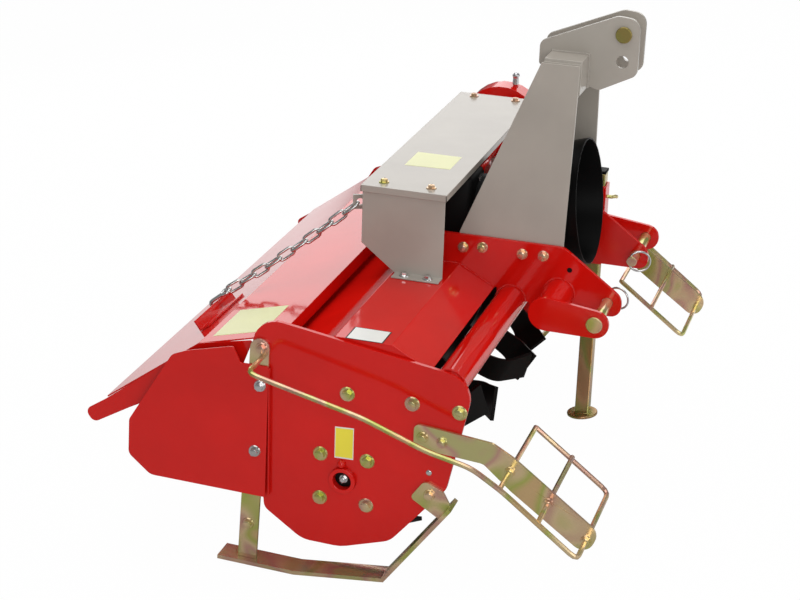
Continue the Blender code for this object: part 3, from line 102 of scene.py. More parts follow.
spread.inputs["From Min"].default_value = MIRRORED_FROM
spread.inputs["From Max"].default_value = MIRRORED_TO
links.new(apart.outputs["X"], spread.inputs["Value"])
fade = nodes.new("ShaderNodeValToRGB")
for element, tone in zip(fade.color_ramp.elements, MIRRORED_ENDS):
    element.color = (tone, tone, tone, 1)
for stop in BRIGHT_STOPS:
    bright = fade.color_ramp.elements.new(stop)
    bright.color = (MIRRORED_BRIGHT, MIRRORED_BRIGHT, MIRRORED_BRIGHT, 1)
links.new(spread.outputs["Result"], fade.inputs["Fac"])
mirrored = nodes.new("ShaderNodeBsdfDiffuse")
links.new(fade.outputs["Color"], mirrored.inputs["Color"])
all_paper = nodes.new("ShaderNodeMixShader")
links.new(rays.outputs["Is Glossy Ray"], all_paper.inputs[0])
links.new(seen_paper.outputs[0], all_paper.inputs[1])
links.new(mirrored.outputs[0], all_paper.inputs[2])
paper_out = nodes.new("ShaderNodeOutputMaterial")
links.new(all_paper.outputs[0], paper_out.inputs[0])
floor_mesh.materials.append(floor_paper)

sky = bpy.data.worlds.new("studio_air")
bpy.context.scene.world = sky
sky.use_nodes = True
nodes, links = sky.node_tree.nodes, sky.node_tree.links
nodes.clear()
rays = nodes.new("ShaderNodeLightPath")
air = None
for ray_name, strength in (("Is Diffuse Ray", 0.42), ("Is Glossy Ray", 0.17), ("Is Camera Ray", 1.0)):
    shade = nodes.new("ShaderNodeBackground")
    shade.inputs["Color"].default_value = (1, 1, 1, 1)
    shade.inputs["Strength"].default_value = strength
    if air is None:
        air = shade.outputs[0]
        continue
    pick = nodes.new("ShaderNodeMixShader")
    links.new(rays.outputs[ray_name], pick.inputs[0])
    links.new(air, pick.inputs[1])
    links.new(shade.outputs[0], pick.inputs[2])
    air = pick.outputs[0]
sky_out = nodes.new("ShaderNodeOutputWorld")
links.new(air, sky_out.inputs[0])

LAMP_AIM = Vector((0, 0.1, 0.3))
for lamp_name, lamp_place, lamp_size, lamp_power in (
    ("overhead_softbox", (0.0, 0.2, 3.4), (3.2, 3.2), 50.0),
    ("left_softbox", (-3.6, -0.1, 2.2), (3.0, 2.2), 36.0),
    ("rear_left_softbox", (-3.4, -2.4, 1.5), (2.4, 1.6), 19.0),
    ("front_softbox", (0.4, 3.6, 1.2), (2.6, 1.4), 18.0),
    ("front_fill", (3.8, 1.6, 1.9), (2.4, 2.0), 46.0),
):
    lamp_data = bpy.data.lights.new(lamp_name, "AREA")
    lamp_data.shape = "RECTANGLE"
    lamp_data.size, lamp_data.size_y = lamp_size
    lamp_data.energy = lamp_power
    lamp = bpy.data.objects.new(lamp_name, lamp_data)
    lamp.location = lamp_place
    lamp.rotation_euler = (LAMP_AIM - Vector(lamp_place)).to_track_quat("-Z", "Y").to_euler()
    bpy.context.scene.collection.objects.link(lamp)

SENSOR_WIDTH = 36.0
LENS = 87.709
CAMERA_PLACE = (3.703526, 1.220869, 1.750317)
CAMERA_TURNS = (70.03827, 4.10651, 107.40884)
camera_data = bpy.data.cameras.new("photo_camera")
camera_data.sensor_width = SENSOR_WIDTH
camera_data.lens = LENS
camera = bpy.data.objects.new("photo_camera", camera_data)
camera.location = CAMERA_PLACE
camera.rotation_euler = [math.radians(turn) for turn in CAMERA_TURNS]
bpy.context.scene.collection.objects.link(camera)
bpy.context.scene.camera = camera
bpy.context.scene.view_settings.view_transform = "Standard"

# End plates: 8 mm steel cut by laser and sprayed with gloss red enamel. They carry the hood, the front tube
# and the rotor's bearings. Every red piece has the same enamel, whose surface has a faint orange peel.
PARK_PITCH = math.radians(6.2)
HALF_WIDTH = 0.605
rotor_low, rotor_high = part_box("rotor_tube")
rotor_place = Vector((0, (rotor_low.y + rotor_high.y) / 2, (rotor_low.z + rotor_high.z) / 2))
standing = Matrix.Translation(rotor_place) @ Matrix.Rotation(-PARK_PITCH, 4, "X")


def enamel(name, colour, roughness, shine, peel):
    """Sprayed enamel: one colour that varies a little over a hand's width, with orange peel."""
    paint = bpy.data.materials.new(name)
    paint.use_nodes = True
    nodes, links = paint.node_tree.nodes, paint.node_tree.links
    shader = nodes["Principled BSDF"]
    place = nodes.new("ShaderNodeTexCoord")
    patch = nodes.new("ShaderNodeTexNoise")
    patch.inputs["Scale"].default_value = 7.0
    patch.inputs["Detail"].default_value = 3.0
    links.new(place.outputs["Object"], patch.inputs["Vector"])
    tint = nodes.new("ShaderNodeValToRGB")
    tint.color_ramp.elements[0].position = 0.3
    tint.color_ramp.elements[1].position = 0.7
    tint.color_ramp.elements[0].color = (*[c * 0.92 for c in colour], 1)
    tint.color_ramp.elements[1].color = (*[min(1, c * 1.05) for c in colour], 1)
    links.new(patch.outputs["Fac"], tint.inputs["Fac"])
    links.new(tint.outputs["Color"], shader.inputs["Base Color"])
    grain = nodes.new("ShaderNodeTexNoise")
    grain.inputs["Scale"].default_value = 160.0
    grain.inputs["Detail"].default_value = 2.0
    links.new(place.outputs["Object"], grain.inputs["Vector"])
    bump = nodes.new("ShaderNodeBump")
    bump.inputs["Strength"].default_value = peel
    bump.inputs["Distance"].default_value = 0.0004
    links.new(grain.outputs["Fac"], bump.inputs["Height"])
    links.new(bump.outputs["Normal"], shader.inputs["Normal"])
    span = nodes.new("ShaderNodeMapRange")
    span.inputs["To Min"].default_value = roughness * 0.8
    span.inputs["To Max"].default_value = roughness * 1.3
    links.new(patch.outputs["Fac"], span.inputs["Value"])
    links.new(span.outputs["Result"], shader.inputs["Roughness"])
    shader.inputs["Specular IOR Level"].default_value = shine
    return paint


def smooth_by_angle(mesh, degrees):
    for face in mesh.polygons:
        face.use_smooth = True
    mesh.set_sharp_from_angle(angle=math.radians(degrees))


def finished(name, mesh, finish, body, edge, angle):
    """An object with its finish and body, its sharp edges broken by a small round."""
    mesh.materials.clear()
    mesh.materials.append(finish)
    piece = bpy.data.objects.new(name, mesh)
    bpy.context.scene.collection.objects.link(piece)
    if edge:
        rounding = piece.modifiers.new("broken_edges", "BEVEL")
        rounding.width = edge
        rounding.segments = 2
        rounding.limit_method = "ANGLE"
        rounding.angle_limit = math.radians(angle)
    smooth_by_angle(mesh, angle)
    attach(piece, body)
    return piece


def dressed(node, finish, edge=0.001, angle=35):
    """A copy of a solid with merged corners and a real finish, in the solid's place."""
    source = frame["nodes"][node]
    mesh = source.data.copy()
    form = bmesh.new()
    form.from_mesh(mesh)
    bmesh.ops.remove_doubles(form, verts=form.verts, dist=0.00001)
    bmesh.ops.dissolve_limit(form, angle_limit=math.radians(0.5), verts=form.verts, edges=form.edges)
    form.to_mesh(mesh)
    form.free()
    piece = finished(node + "_dressed", mesh, finish, source["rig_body"], edge, angle)
    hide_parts(node)
    return piece


RED = (0.62, 0.007, 0.004)
RED_ROUGHNESS, RED_SHINE, RED_PEEL = 0.09, 0.5, 0.05
red_enamel = enamel("red_enamel", RED, RED_ROUGHNESS, RED_SHINE, RED_PEEL)
for end_plate in ("end_plate_right", "end_plate_left"):
    dressed(end_plate, red_enamel, edge=0.0012)

# Screws of the end plates: flanged hexagon screws of yellow zinc. Three stand in a row under the upper edge
# of the right plate and two on the left one, and four hold the bearing on the right.


def zinc(name, tones, roughness, metal):
    """Zinc plate: metal whose thin film shifts in colour from patch to patch."""
    plate = bpy.data.materials.new(name)
    plate.use_nodes = True
    nodes, links = plate.node_tree.nodes, plate.node_tree.links
    shader = nodes["Principled BSDF"]
    place = nodes.new("ShaderNodeTexCoord")
    film = nodes.new("ShaderNodeTexNoise")
    film.inputs["Scale"].default_value = 9.0
    film.inputs["Detail"].default_value = 1.0
    film.inputs["Distortion"].default_value = 0.7
    links.new(place.outputs["Object"], film.inputs["Vector"])
    ramp = nodes.new("ShaderNodeValToRGB")
    ramp.color_ramp.elements[0].position = 0.32
    ramp.color_ramp.elements[1].position = 0.68
    ramp.color_ramp.elements[0].color = (*tones[0], 1)
    ramp.color_ramp.elements[1].color = (*tones[-1], 1)
    for index, tone in enumerate(tones[1:-1]):
        between = ramp.color_ramp.elements.new(0.32 + 0.36 * (index + 1) / (len(tones) - 1))
        between.color = (*tone, 1)
    links.new(film.outputs["Fac"], ramp.inputs["Fac"])
    links.new(ramp.outputs["Color"], shader.inputs["Base Color"])
    shader.inputs["Metallic"].default_value = metal
    grain = nodes.new("ShaderNodeTexNoise")
    grain.inputs["Scale"].default_value = 420.0
    links.new(place.outputs["Object"], grain.inputs["Vector"])
    span = nodes.new("ShaderNodeMapRange")
    span.inputs["To Min"].default_value = roughness * 0.85
    span.inputs["To Max"].default_value = roughness * 1.15
    links.new(grain.outputs["Fac"], span.inputs["Value"])
    links.new(span.outputs["Result"], shader.inputs["Roughness"])
    bump = nodes.new("ShaderNodeBump")
    bump.inputs["Strength"].default_value = 0.03
    bump.inputs["Distance"].default_value = 0.0002
    links.new(grain.outputs["Fac"], bump.inputs["Height"])
    links.new(bump.outputs["Normal"], shader.inputs["Normal"])
    return plate


def named_inputs(tree, sockets):
    """Adds named inputs and one output to a tree, and returns its group input and output nodes."""
    tree.interface.new_socket(name="Geometry", in_out="INPUT", socket_type="NodeSocketGeometry")
    for name, kind, value in sockets:
        socket = tree.interface.new_socket(name=name, in_out="INPUT", socket_type="NodeSocket" + kind)
        if value is not None:
            socket.default_value = value
    tree.interface.new_socket(name="Geometry", in_out="OUTPUT", socket_type="NodeSocketGeometry")
    return tree.nodes.new("NodeGroupInput"), tree.nodes.new("NodeGroupOutput")


def lifted(tree, shape, *heights):
    """Moves a shape up by the sum of some heights."""
    total = heights[0]
    for height in heights[1:]:
        add = tree.nodes.new("ShaderNodeMath")
        add.operation = "ADD"
        tree.links.new(total, add.inputs[0])
        tree.links.new(height, add.inputs[1])
        total = add.outputs[0]
    up = tree.nodes.new("ShaderNodeCombineXYZ")
    tree.links.new(total, up.inputs["Z"])
    move = tree.nodes.new("GeometryNodeTransform")
    tree.links.new(shape, move.inputs["Geometry"])
    tree.links.new(up.outputs[0], move.inputs["Translation"])
    return move.outputs["Geometry"]


def scaled(tree, value, factor):
    """A value times a plain factor."""
    times = tree.nodes.new("ShaderNodeMath")
    times.operation = "MULTIPLY"
    tree.links.new(value, times.inputs[0])
    times.inputs[1].default_value = factor
    return times.outputs[0]


def planted(tree, given, out, points, shape, rotation, scale=None):
    """Ends a tree: a shape on each point, made real and painted with the finish."""
    placed = tree.nodes.new("GeometryNodeInstanceOnPoints")
    tree.links.new(points, placed.inputs["Points"])
    tree.links.new(shape, placed.inputs["Instance"])
    tree.links.new(rotation, placed.inputs["Rotation"])
    if scale is not None:
        tree.links.new(scale, placed.inputs["Scale"])
    real = tree.nodes.new("GeometryNodeRealizeInstances")
    tree.links.new(placed.outputs[0], real.inputs[0])
    painted = tree.nodes.new("GeometryNodeSetMaterial")
    tree.links.new(real.outputs[0], painted.inputs["Geometry"])
    tree.links.new(given.outputs["Finish"], painted.inputs["Material"])
    tree.links.new(painted.outputs[0], out.inputs[0])


def screw_tree():
    """Puts a flanged hexagon screw on each point, along its attribute way and turned at random."""
    tree = bpy.data.node_groups.new("flanged_screws", "GeometryNodeTree")
    given, out = named_inputs(
        tree,
        (
            ("Flange Radius", "Float", 0.011),
            ("Flange Height", "Float", 0.0022),
            ("Head Radius", "Float", 0.0085),
            ("Head Height", "Float", 0.0065),
            ("Thread Radius", "Float", 0.004),
            ("Thread Length", "Float", 0.0),
            ("Seed", "Int", 7),
            ("Finish", "Material", None),
        ),
    )
    flange = tree.nodes.new("GeometryNodeMeshCone")
    flange.inputs["Vertices"].default_value = 28
    tree.links.new(given.outputs["Flange Radius"], flange.inputs["Radius Bottom"])
    tree.links.new(scaled(tree, given.outputs["Flange Radius"], 0.88), flange.inputs["Radius Top"])
    tree.links.new(given.outputs["Flange Height"], flange.inputs["Depth"])
    head = tree.nodes.new("GeometryNodeMeshCylinder")
    head.inputs["Vertices"].default_value = 6
    tree.links.new(given.outputs["Head Radius"], head.inputs["Radius"])
    tree.links.new(given.outputs["Head Height"], head.inputs["Depth"])
    crown = tree.nodes.new("GeometryNodeMeshCone")
    crown.inputs["Vertices"].default_value = 24
    tree.links.new(scaled(tree, given.outputs["Head Radius"], 0.87), crown.inputs["Radius Bottom"])
    tree.links.new(scaled(tree, given.outputs["Head Radius"], 0.68), crown.inputs["Radius Top"])
    tree.links.new(scaled(tree, given.outputs["Head Height"], 0.14), crown.inputs["Depth"])
    thread = tree.nodes.new("GeometryNodeMeshCylinder")
    thread.inputs["Vertices"].default_value = 16
    tree.links.new(given.outputs["Thread Radius"], thread.inputs["Radius"])
    tree.links.new(given.outputs["Thread Length"], thread.inputs["Depth"])
    joined = tree.nodes.new("GeometryNodeJoinGeometry")
    tall = given.outputs["Flange Height"]
    half_head = scaled(tree, given.outputs["Head Height"], 0.5)
    parts = (
        flange.outputs["Mesh"],
        lifted(tree, head.outputs["Mesh"], tall, half_head),
        lifted(tree, crown.outputs["Mesh"], tall, given.outputs["Head Height"]),
        lifted(tree, thread.outputs["Mesh"], tall, given.outputs["Head Height"]),
    )
    for part in parts:
        tree.links.new(part, joined.inputs[0])
    way = tree.nodes.new("GeometryNodeInputNamedAttribute")
    way.data_type = "FLOAT_VECTOR"
    way.inputs["Name"].default_value = "way"
    align = tree.nodes.new("FunctionNodeAlignRotationToVector")
    align.axis = "Z"
    tree.links.new(way.outputs["Attribute"], align.inputs["Vector"])
    chance = tree.nodes.new("FunctionNodeRandomValue")
    chance.data_type = "FLOAT"
    chance.inputs[3].default_value = math.pi / 3
    tree.links.new(given.outputs["Seed"], chance.inputs["Seed"])
    spin = tree.nodes.new("ShaderNodeCombineXYZ")
    tree.links.new(chance.outputs[1], spin.inputs["Z"])
    turn = tree.nodes.new("FunctionNodeEulerToRotation")
    tree.links.new(spin.outputs[0], turn.inputs[0])
    rotate = tree.nodes.new("FunctionNodeRotateRotation")
    rotate.rotation_space = "LOCAL"
    tree.links.new(align.outputs[0], rotate.inputs[0])
    tree.links.new(turn.outputs[0], rotate.inputs[1])
    planted(tree, given, out, given.outputs["Geometry"], joined.outputs[0], rotate.outputs[0])
    return tree


def grown(name, mesh, tree, sizes, body, angle=35):
    """A plain mesh from a tree and its input mesh, riding on a body."""
    seedling = bpy.data.objects.new(name, mesh)
    bpy.context.scene.collection.objects.link(seedling)
    growth = seedling.modifiers.new(name, "NODES")
    growth.node_group = tree
    for socket in tree.interface.items_tree:
        if socket.in_out == "INPUT" and socket.name in sizes:
            growth[socket.identifier] = sizes[socket.name]
    graph = bpy.context.evaluated_depsgraph_get()
    made = bpy.data.meshes.new_from_object(seedling.evaluated_get(graph), depsgraph=graph)
    seedling.modifiers.remove(growth)
    seedling.data = made
    smooth_by_angle(made, angle)
    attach(seedling, body)
    return seedling


flanged_screws = screw_tree()


def screws(name, places, finish, slot, body="frame", **sizes):
    """Screws at places (x, y, z) of the level machine, each with the way that its head faces."""
    mesh = bpy.data.meshes.new(name)
    mesh.from_pydata([standing @ Vector(place) for place, way in places], [], [])
    facing = mesh.attributes.new("way", "FLOAT_VECTOR", "POINT")
    turned = standing.to_3x3()
    for index, (place, way) in enumerate(places):
        facing.data[index].vector = turned @ Vector(way)
    inputs = {key.replace("_", " ").title(): value for key, value in sizes.items()}
    return grown(name, mesh, flanged_screws, {**inputs, "Finish": finish}, body)


GOLD_TONES = (
    (0.74, 0.52, 0.26),
    (0.50, 0.54, 0.14),
    (0.80, 0.62, 0.36),
    (0.66, 0.38, 0.30),
    (0.62, 0.58, 0.26),
)
SILVER_TONES = ((0.60, 0.60, 0.59), (0.74, 0.74, 0.73), (0.66, 0.66, 0.68))
yellow_zinc = zinc("yellow_zinc", GOLD_TONES, roughness=0.20, metal=0.75)
silver_zinc = zinc("silver_zinc", SILVER_TONES, roughness=0.22, metal=0.9)
END_SCREWS = ((0.004, 0.176), (0.129, 0.177), (0.219, 0.174))
BEARING_SCREWS = ((-0.046, 0.046), (0.046, 0.046), (-0.046, -0.046), (0.046, -0.046))
plate_places = [((HALF_WIDTH, *place), (1, 0, 0)) for place in (*END_SCREWS, *BEARING_SCREWS)]
plate_places += [((-HALF_WIDTH, *place), (-1, 0, 0)) for place in END_SCREWS[1:]]
screws("end_plate_screws", plate_places, yellow_zinc, "yellow_zinc", flange_radius=0.0148, head_radius=0.0098)

# Bearing hub: a turned flange inside the right end plate, whose boss shows as a ring round a dark bore. A
# small screw closes the rotor's stub in the bore, and a red cap covers the nipple above it.


def formed(name, form, finish, body="frame", edge=0.0, angle=35):
    """A piece from a form built in the level machine's coordinates."""
    form.transform(standing)
    bmesh.ops.recalc_face_normals(form, faces=form.faces)
    mesh = bpy.data.meshes.new(name)
    form.to_mesh(mesh)
    form.free()
    return finished(name, mesh, finish, body, edge, angle)


def disc(form, centre, radius, depth, upright=False, steps=32, taper=1.0):
    """A short round bar, centred on a place, that lies across or stands."""
    turn = Matrix.Identity(4) if upright else Matrix.Rotation(math.pi / 2, 4, "Y")
    put = Matrix.Translation(Vector(centre)) @ turn
    bmesh.ops.create_cone(
        form, cap_ends=True, segments=steps, radius1=radius, radius2=radius * taper, depth=depth, matrix=put
    )


def dome(form, centre, radius, rise):
    """A round cap, half sunk into a face that looks along X."""
    put = Matrix.Translation(Vector(centre)) @ Matrix.Diagonal((rise, radius, radius, 1))
    bmesh.ops.create_uvsphere(form, u_segments=24, v_segments=12, radius=1.0, matrix=put)


dressed("bearing_hub", red_enamel, edge=0.0008)
shade_black = enamel("shade_black", (0.004, 0.004, 0.004), roughness=0.5, shine=0.2, peel=0.0)
NIPPLE_PLACE, NIPPLE_RADIUS, NIPPLE_RISE = (-0.003, 0.0325), 0.0085, 0.010
RIVET_PLACE, RIVET_RADIUS, RIVET_RISE = (0.166, 0.044), 0.0058, 0.0022
STUB_END = 0.6003
nipple_cap = bmesh.new()
dome(nipple_cap, (HALF_WIDTH, *NIPPLE_PLACE), NIPPLE_RADIUS, NIPPLE_RISE)
formed("nipple_cap", nipple_cap, red_enamel)
plate_rivet = bmesh.new()
dome(plate_rivet, (HALF_WIDTH, *RIVET_PLACE), RIVET_RADIUS, RIVET_RISE)
formed("plate_rivet", plate_rivet, silver_zinc, angle=60)
rotor_body = frame["nodes"]["rotor_tube"]["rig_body"]
screws(
    "stub_screw",
    [((STUB_END, 0, 0), (1, 0, 0))],
    silver_zinc,
    "silver_zinc",
    rotor_body,
    flange_radius=0.009,
    head_radius=0.006,
)

# Hood and front tube: one folded sheet over the rotor, dull behind its rear fold, with a flange folded down
# at each end plate, and a round tube that ties the plates together. Tube ends and plate feet are welded with
# small even beads.


def bead_tree():
    """Lays flattened beads along the edges of a mesh, like the ripples of a weld."""
    tree = bpy.data.node_groups.new("weld_beads", "GeometryNodeTree")
    given, out = named_inputs(
        tree,
        (
            ("Bead Radius", "Float", 0.0024),
            ("Pitch", "Float", 0.0026),
            ("Seed", "Int", 3),
            ("Finish", "Material", None),
        ),
    )
    seam = tree.nodes.new("GeometryNodeMeshToCurve")
    tree.links.new(given.outputs["Geometry"], seam.inputs[0])
    even = tree.nodes.new("GeometryNodeResampleCurve")
    even.mode = "LENGTH"
    tree.links.new(seam.outputs[0], even.inputs["Curve"])
    tree.links.new(given.outputs["Pitch"], even.inputs["Length"])
    bead = tree.nodes.new("GeometryNodeMeshIcoSphere")
    bead.inputs["Subdivisions"].default_value = 2
    tree.links.new(given.outputs["Bead Radius"], bead.inputs["Radius"])
    tangent = tree.nodes.new("GeometryNodeInputTangent")
    align = tree.nodes.new("FunctionNodeAlignRotationToVector")
    align.axis = "Z"
    tree.links.new(tangent.outputs[0], align.inputs["Vector"])
    chance = tree.nodes.new("FunctionNodeRandomValue")
    chance.data_type = "FLOAT"
    chance.inputs[2].default_value = 0.85
    chance.inputs[3].default_value = 1.15
    tree.links.new(given.outputs["Seed"], chance.inputs["Seed"])
    size = tree.nodes.new("ShaderNodeCombineXYZ")
    tree.links.new(chance.outputs[1], size.inputs["X"])
    tree.links.new(chance.outputs[1], size.inputs["Y"])
    size.inputs["Z"].default_value = 0.8
    planted(tree, given, out, even.outputs[0], bead.outputs["Mesh"], align.outputs[0], size.outputs[0])
    return tree


weld_beads = bead_tree()


def welds(name, seams, finish, slot, body="frame", **sizes):
    """Weld beads along seams, each a path of places of the level machine."""
    points = []
    edges = []
    for path in seams:
        first = len(points)
        points += [standing @ Vector(place) for place in path]
        edges += [(index, index + 1) for index in range(first, len(points) - 1)]
    mesh = bpy.data.meshes.new(name)
    mesh.from_pydata(points, edges, [])
    inputs = {key.replace("_", " ").title(): value for key, value in sizes.items()}
    return grown(name, mesh, weld_beads, {**inputs, "Finish": finish}, body, angle=80)


def round_seam(x, centre, radius, start=0.0, end=math.tau, steps=24):
    """A path round a tube or boss that runs along X, at one place along it."""
    turns = [start + (end - start) * step / steps for step in range(steps + 1)]
    return [(x, centre[0] + radius * math.cos(turn), centre[1] + radius * math.sin(turn)) for turn in turns]


GLOSS_FROM, GLOSS_TO = 0.000, 0.024
hood_enamel = enamel("hood_enamel", RED, RED_ROUGHNESS, RED_SHINE, RED_PEEL)
nodes, links = hood_enamel.node_tree.nodes, hood_enamel.node_tree.links
place = nodes.new("ShaderNodeTexCoord")
apart = nodes.new("ShaderNodeSeparateXYZ")
links.new(place.outputs["Object"], apart.inputs[0])
gloss = nodes.new("ShaderNodeMapRange")
gloss.inputs["From Min"].default_value = GLOSS_FROM
gloss.inputs["From Max"].default_value = GLOSS_TO
gloss.inputs["To Min"].default_value = 0.0
gloss.inputs["To Max"].default_value = RED_SHINE
links.new(apart.outputs["Y"], gloss.inputs["Value"])
links.new(gloss.outputs["Result"], nodes["Principled BSDF"].inputs["Specular IOR Level"])
dressed("hood", hood_enamel, edge=0.0008, angle=12)
FLANGE_OUT, FLANGE_IN = 0.5965, 0.5935
FLANGE_DEPTH = 0.030
FLANGE_TOP = ((-0.1270, 0.2262), (-0.0240, 0.2815), (0.0840, 0.2815), (0.1575, 0.2422))
flange_outline = [*FLANGE_TOP, *((y, z - FLANGE_DEPTH) for y, z in FLANGE_TOP[::-1])]
hood_flanges = bmesh.new()
for sign in (1, -1):
    near, far = [
        [hood_flanges.verts.new((sign * x, y, z)) for y, z in flange_outline] for x in (FLANGE_OUT, FLANGE_IN)
    ]
    hood_flanges.faces.new(near)
    hood_flanges.faces.new(far)
    for index in range(len(near)):
        following = (index + 1) % len(near)
        hood_flanges.faces.new((near[index], near[following], far[following], far[index]))
formed("hood_flanges", hood_flanges, red_enamel)
dressed("front_tube", red_enamel, edge=0)
TUBE_CENTRE = (0.195, 0.222)
TUBE_RADIUS = 0.030
HITCH_FACE = 0.148
HITCH_SHEET = 0.008
HOOD_TOP = 0.284
END_SEAM = 0.5962
BEAD_LIFT = 0.0008
SEAM_RADIUS = TUBE_RADIUS + 0.001
SEAM_OPENING = 0.1
FOOT_SEAM = ((0.032, HOOD_TOP + BEAD_LIFT), (0.085, HOOD_TOP + BEAD_LIFT), (0.158, 0.2455))
tube_seams = [round_seam(sign * END_SEAM, TUBE_CENTRE, SEAM_RADIUS) for sign in (1, -1)]
for sign in (1, -1):
    for face in (sign * (HITCH_FACE + BEAD_LIFT), sign * (HITCH_FACE - HITCH_SHEET - BEAD_LIFT)):
        tube_seams.append(
            round_seam(face, TUBE_CENTRE, SEAM_RADIUS, SEAM_OPENING, math.pi - SEAM_OPENING, steps=16)
        )
        tube_seams.append([(face, *place) for place in FOOT_SEAM])
welds("tube_and_foot_welds", tube_seams, red_enamel, "red_paint")

# Lower hitch: 8 mm plates that straddle the front tube, the outer plates with their spacer tubes, and the
# sleeve for the parking leg on the left. Four screws on each side hold the mast to the big plates.
for hitch_piece in (
    "hitch_plate_right",
    "hitch_plate_left",
    "outer_hitch_plate_right",
    "outer_hitch_plate_left",
    "leg_sleeve",
):
    dressed(hitch_piece, red_enamel, edge=0.0012)
HITCH_SCREWS = ((0.091, 0.320), (0.131, 0.325), (0.213, 0.322), (0.256, 0.324))
MAST_SEAM, MAST_SHEET = 0.0003, 0.006
MAST_INSIDE = HITCH_FACE - HITCH_SHEET - MAST_SEAM - MAST_SHEET
BOSS_CENTRE = (0.293, 0.251)
BOSS_SEAM_RADIUS = 0.031
BOSS_SEAMS = (0.1490, -0.2612, -0.1490)
HOLE_PLACE, HOLE_RADIUS, HOLE_SHADE = (0.311, 0.302), 0.0052, 0.0006
hitch_places = []
nut_places = []
# A thin black disc on each big hitch plate is painted shade standing in for a hole.
hole_shade_discs = bmesh.new()
for sign in (1, -1):
    hitch_places += [((sign * HITCH_FACE, *place), (sign, 0, 0)) for place in HITCH_SCREWS]
    nut_places += [((sign * MAST_INSIDE, *place), (-sign, 0, 0)) for place in HITCH_SCREWS]
    disc(hole_shade_discs, (sign * HITCH_FACE, *HOLE_PLACE), HOLE_RADIUS, HOLE_SHADE, steps=20)
screws("hitch_screws", hitch_places, yellow_zinc, "yellow_zinc", flange_radius=0.0115, head_radius=0.0085)
screws("hitch_nuts", nut_places, yellow_zinc, "yellow_zinc", flange_radius=0.0115, thread_length=0.012)
boss_seams = [round_seam(face, BOSS_CENTRE, BOSS_SEAM_RADIUS) for face in BOSS_SEAMS]
welds("boss_welds", boss_seams, red_enamel, "red_paint")
# The black discs are painted hole shade, not holes cut in the plates.
formed("hitch_plate_hole_shade", hole_shade_discs, shade_black)

# Hitch pins: turned from round steel and plated with yellow zinc, one across each gap of the lower hitch.
# A sprung ring of bright wire through each pin's inner end keeps it.


def swept(form, path, radius, closed=False, steps=8):
    """A round wire along a path of places."""
    spots = [Vector(place) for place in path]
    count = len(spots)
    rings = []
    side = None
    for index, spot in enumerate(spots):
        before = spots[index - 1] if index or closed else spot
        after = spots[(index + 1) % count] if index + 1 < count or closed else spot
        along = (after - before).normalized()
        if side is None:
            side = along.orthogonal().normalized()
        side = (side - along * side.dot(along)).normalized()
        other = along.cross(side)
        ring = []
        for step in range(steps):
            turn = math.tau * step / steps
            ring.append(form.verts.new(spot + (side * math.cos(turn) + other * math.sin(turn)) * radius))
        rings.append(ring)
    pairs = list(zip(rings, rings[1:]))
    if closed:
        pairs.append((rings[-1], rings[0]))
    for one, two in pairs:
        for step in range(steps):
            following = (step + 1) % steps
            form.faces.new((one[step], one[following], two[following], two[step]))
    if not closed:
        form.faces.new(rings[0])
        form.faces.new(rings[-1])


for hitch_pin in ("hitch_pin_right", "hitch_pin_left"):
    dressed(hitch_pin, yellow_zinc, edge=0.0012)
PIN_RING_ACROSS, PIN_RING_PLACE = 0.112, (0.406, 0.243)
PIN_RING_RADIUS, PIN_RING_WIRE, PIN_RING_LEAN = 0.0215, 0.0022, 0.35
pin_rings = bmesh.new()
for sign in (1, -1):
    ring_path = round_seam(sign * PIN_RING_ACROSS, PIN_RING_PLACE, PIN_RING_RADIUS, steps=28)[:-1]
    leaning = [(x + sign * PIN_RING_LEAN * (y - PIN_RING_PLACE[0]), y, z) for x, y, z in ring_path]
    swept(pin_rings, leaning, PIN_RING_WIRE, closed=True)
formed("pin_rings", pin_rings, silver_zinc, angle=80)

# Parking leg: a square tube plated with yellow zinc, with a round foot welded on and a cap of black plastic.
# A bent pin through the sleeve holds it.


def block(form, centre, size, put=Matrix.Identity(4)):
    """A plain block, centred on a place of the level machine, or of a frame that is put in it."""
    place = put @ Matrix.Translation(Vector(centre))
    bmesh.ops.create_cube(form, size=1.0, matrix=place @ Matrix.Diagonal((*size, 1)))


LEG_TONES = ((0.46, 0.28, 0.10), (0.34, 0.36, 0.10), (0.56, 0.36, 0.18), (0.44, 0.24, 0.12))
leg_zinc = zinc("leg_zinc", LEG_TONES, roughness=0.24, metal=0.80)
leg_body = frame["nodes"]["parking_leg"]["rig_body"]
dressed("parking_leg", leg_zinc, edge=0.0015)
black_plastic = enamel("black_plastic", (0.003, 0.003, 0.003), roughness=0.42, shine=0.08, peel=0.08)
LEG_CAP_CENTRE = (-0.205, 0.291, 0.401)
LEG_CAP_SIZE = (0.033, 0.033, 0.007)
leg_cap = bmesh.new()
block(leg_cap, LEG_CAP_CENTRE, LEG_CAP_SIZE)
formed("leg_cap", leg_cap, black_plastic, leg_body, edge=0.002)
SLEEVE_PIN_PATH = (
    (-0.205, 0.262, 0.345),
    (-0.205, 0.320, 0.345),
    (-0.213, 0.327, 0.345),
    (-0.226, 0.327, 0.340),
)
SLEEVE_PIN_RADIUS = 0.004
sleeve_pin = bmesh.new()
swept(sleeve_pin, SLEEVE_PIN_PATH, SLEEVE_PIN_RADIUS)
formed("sleeve_pin", sleeve_pin, yellow_zinc, angle=60)
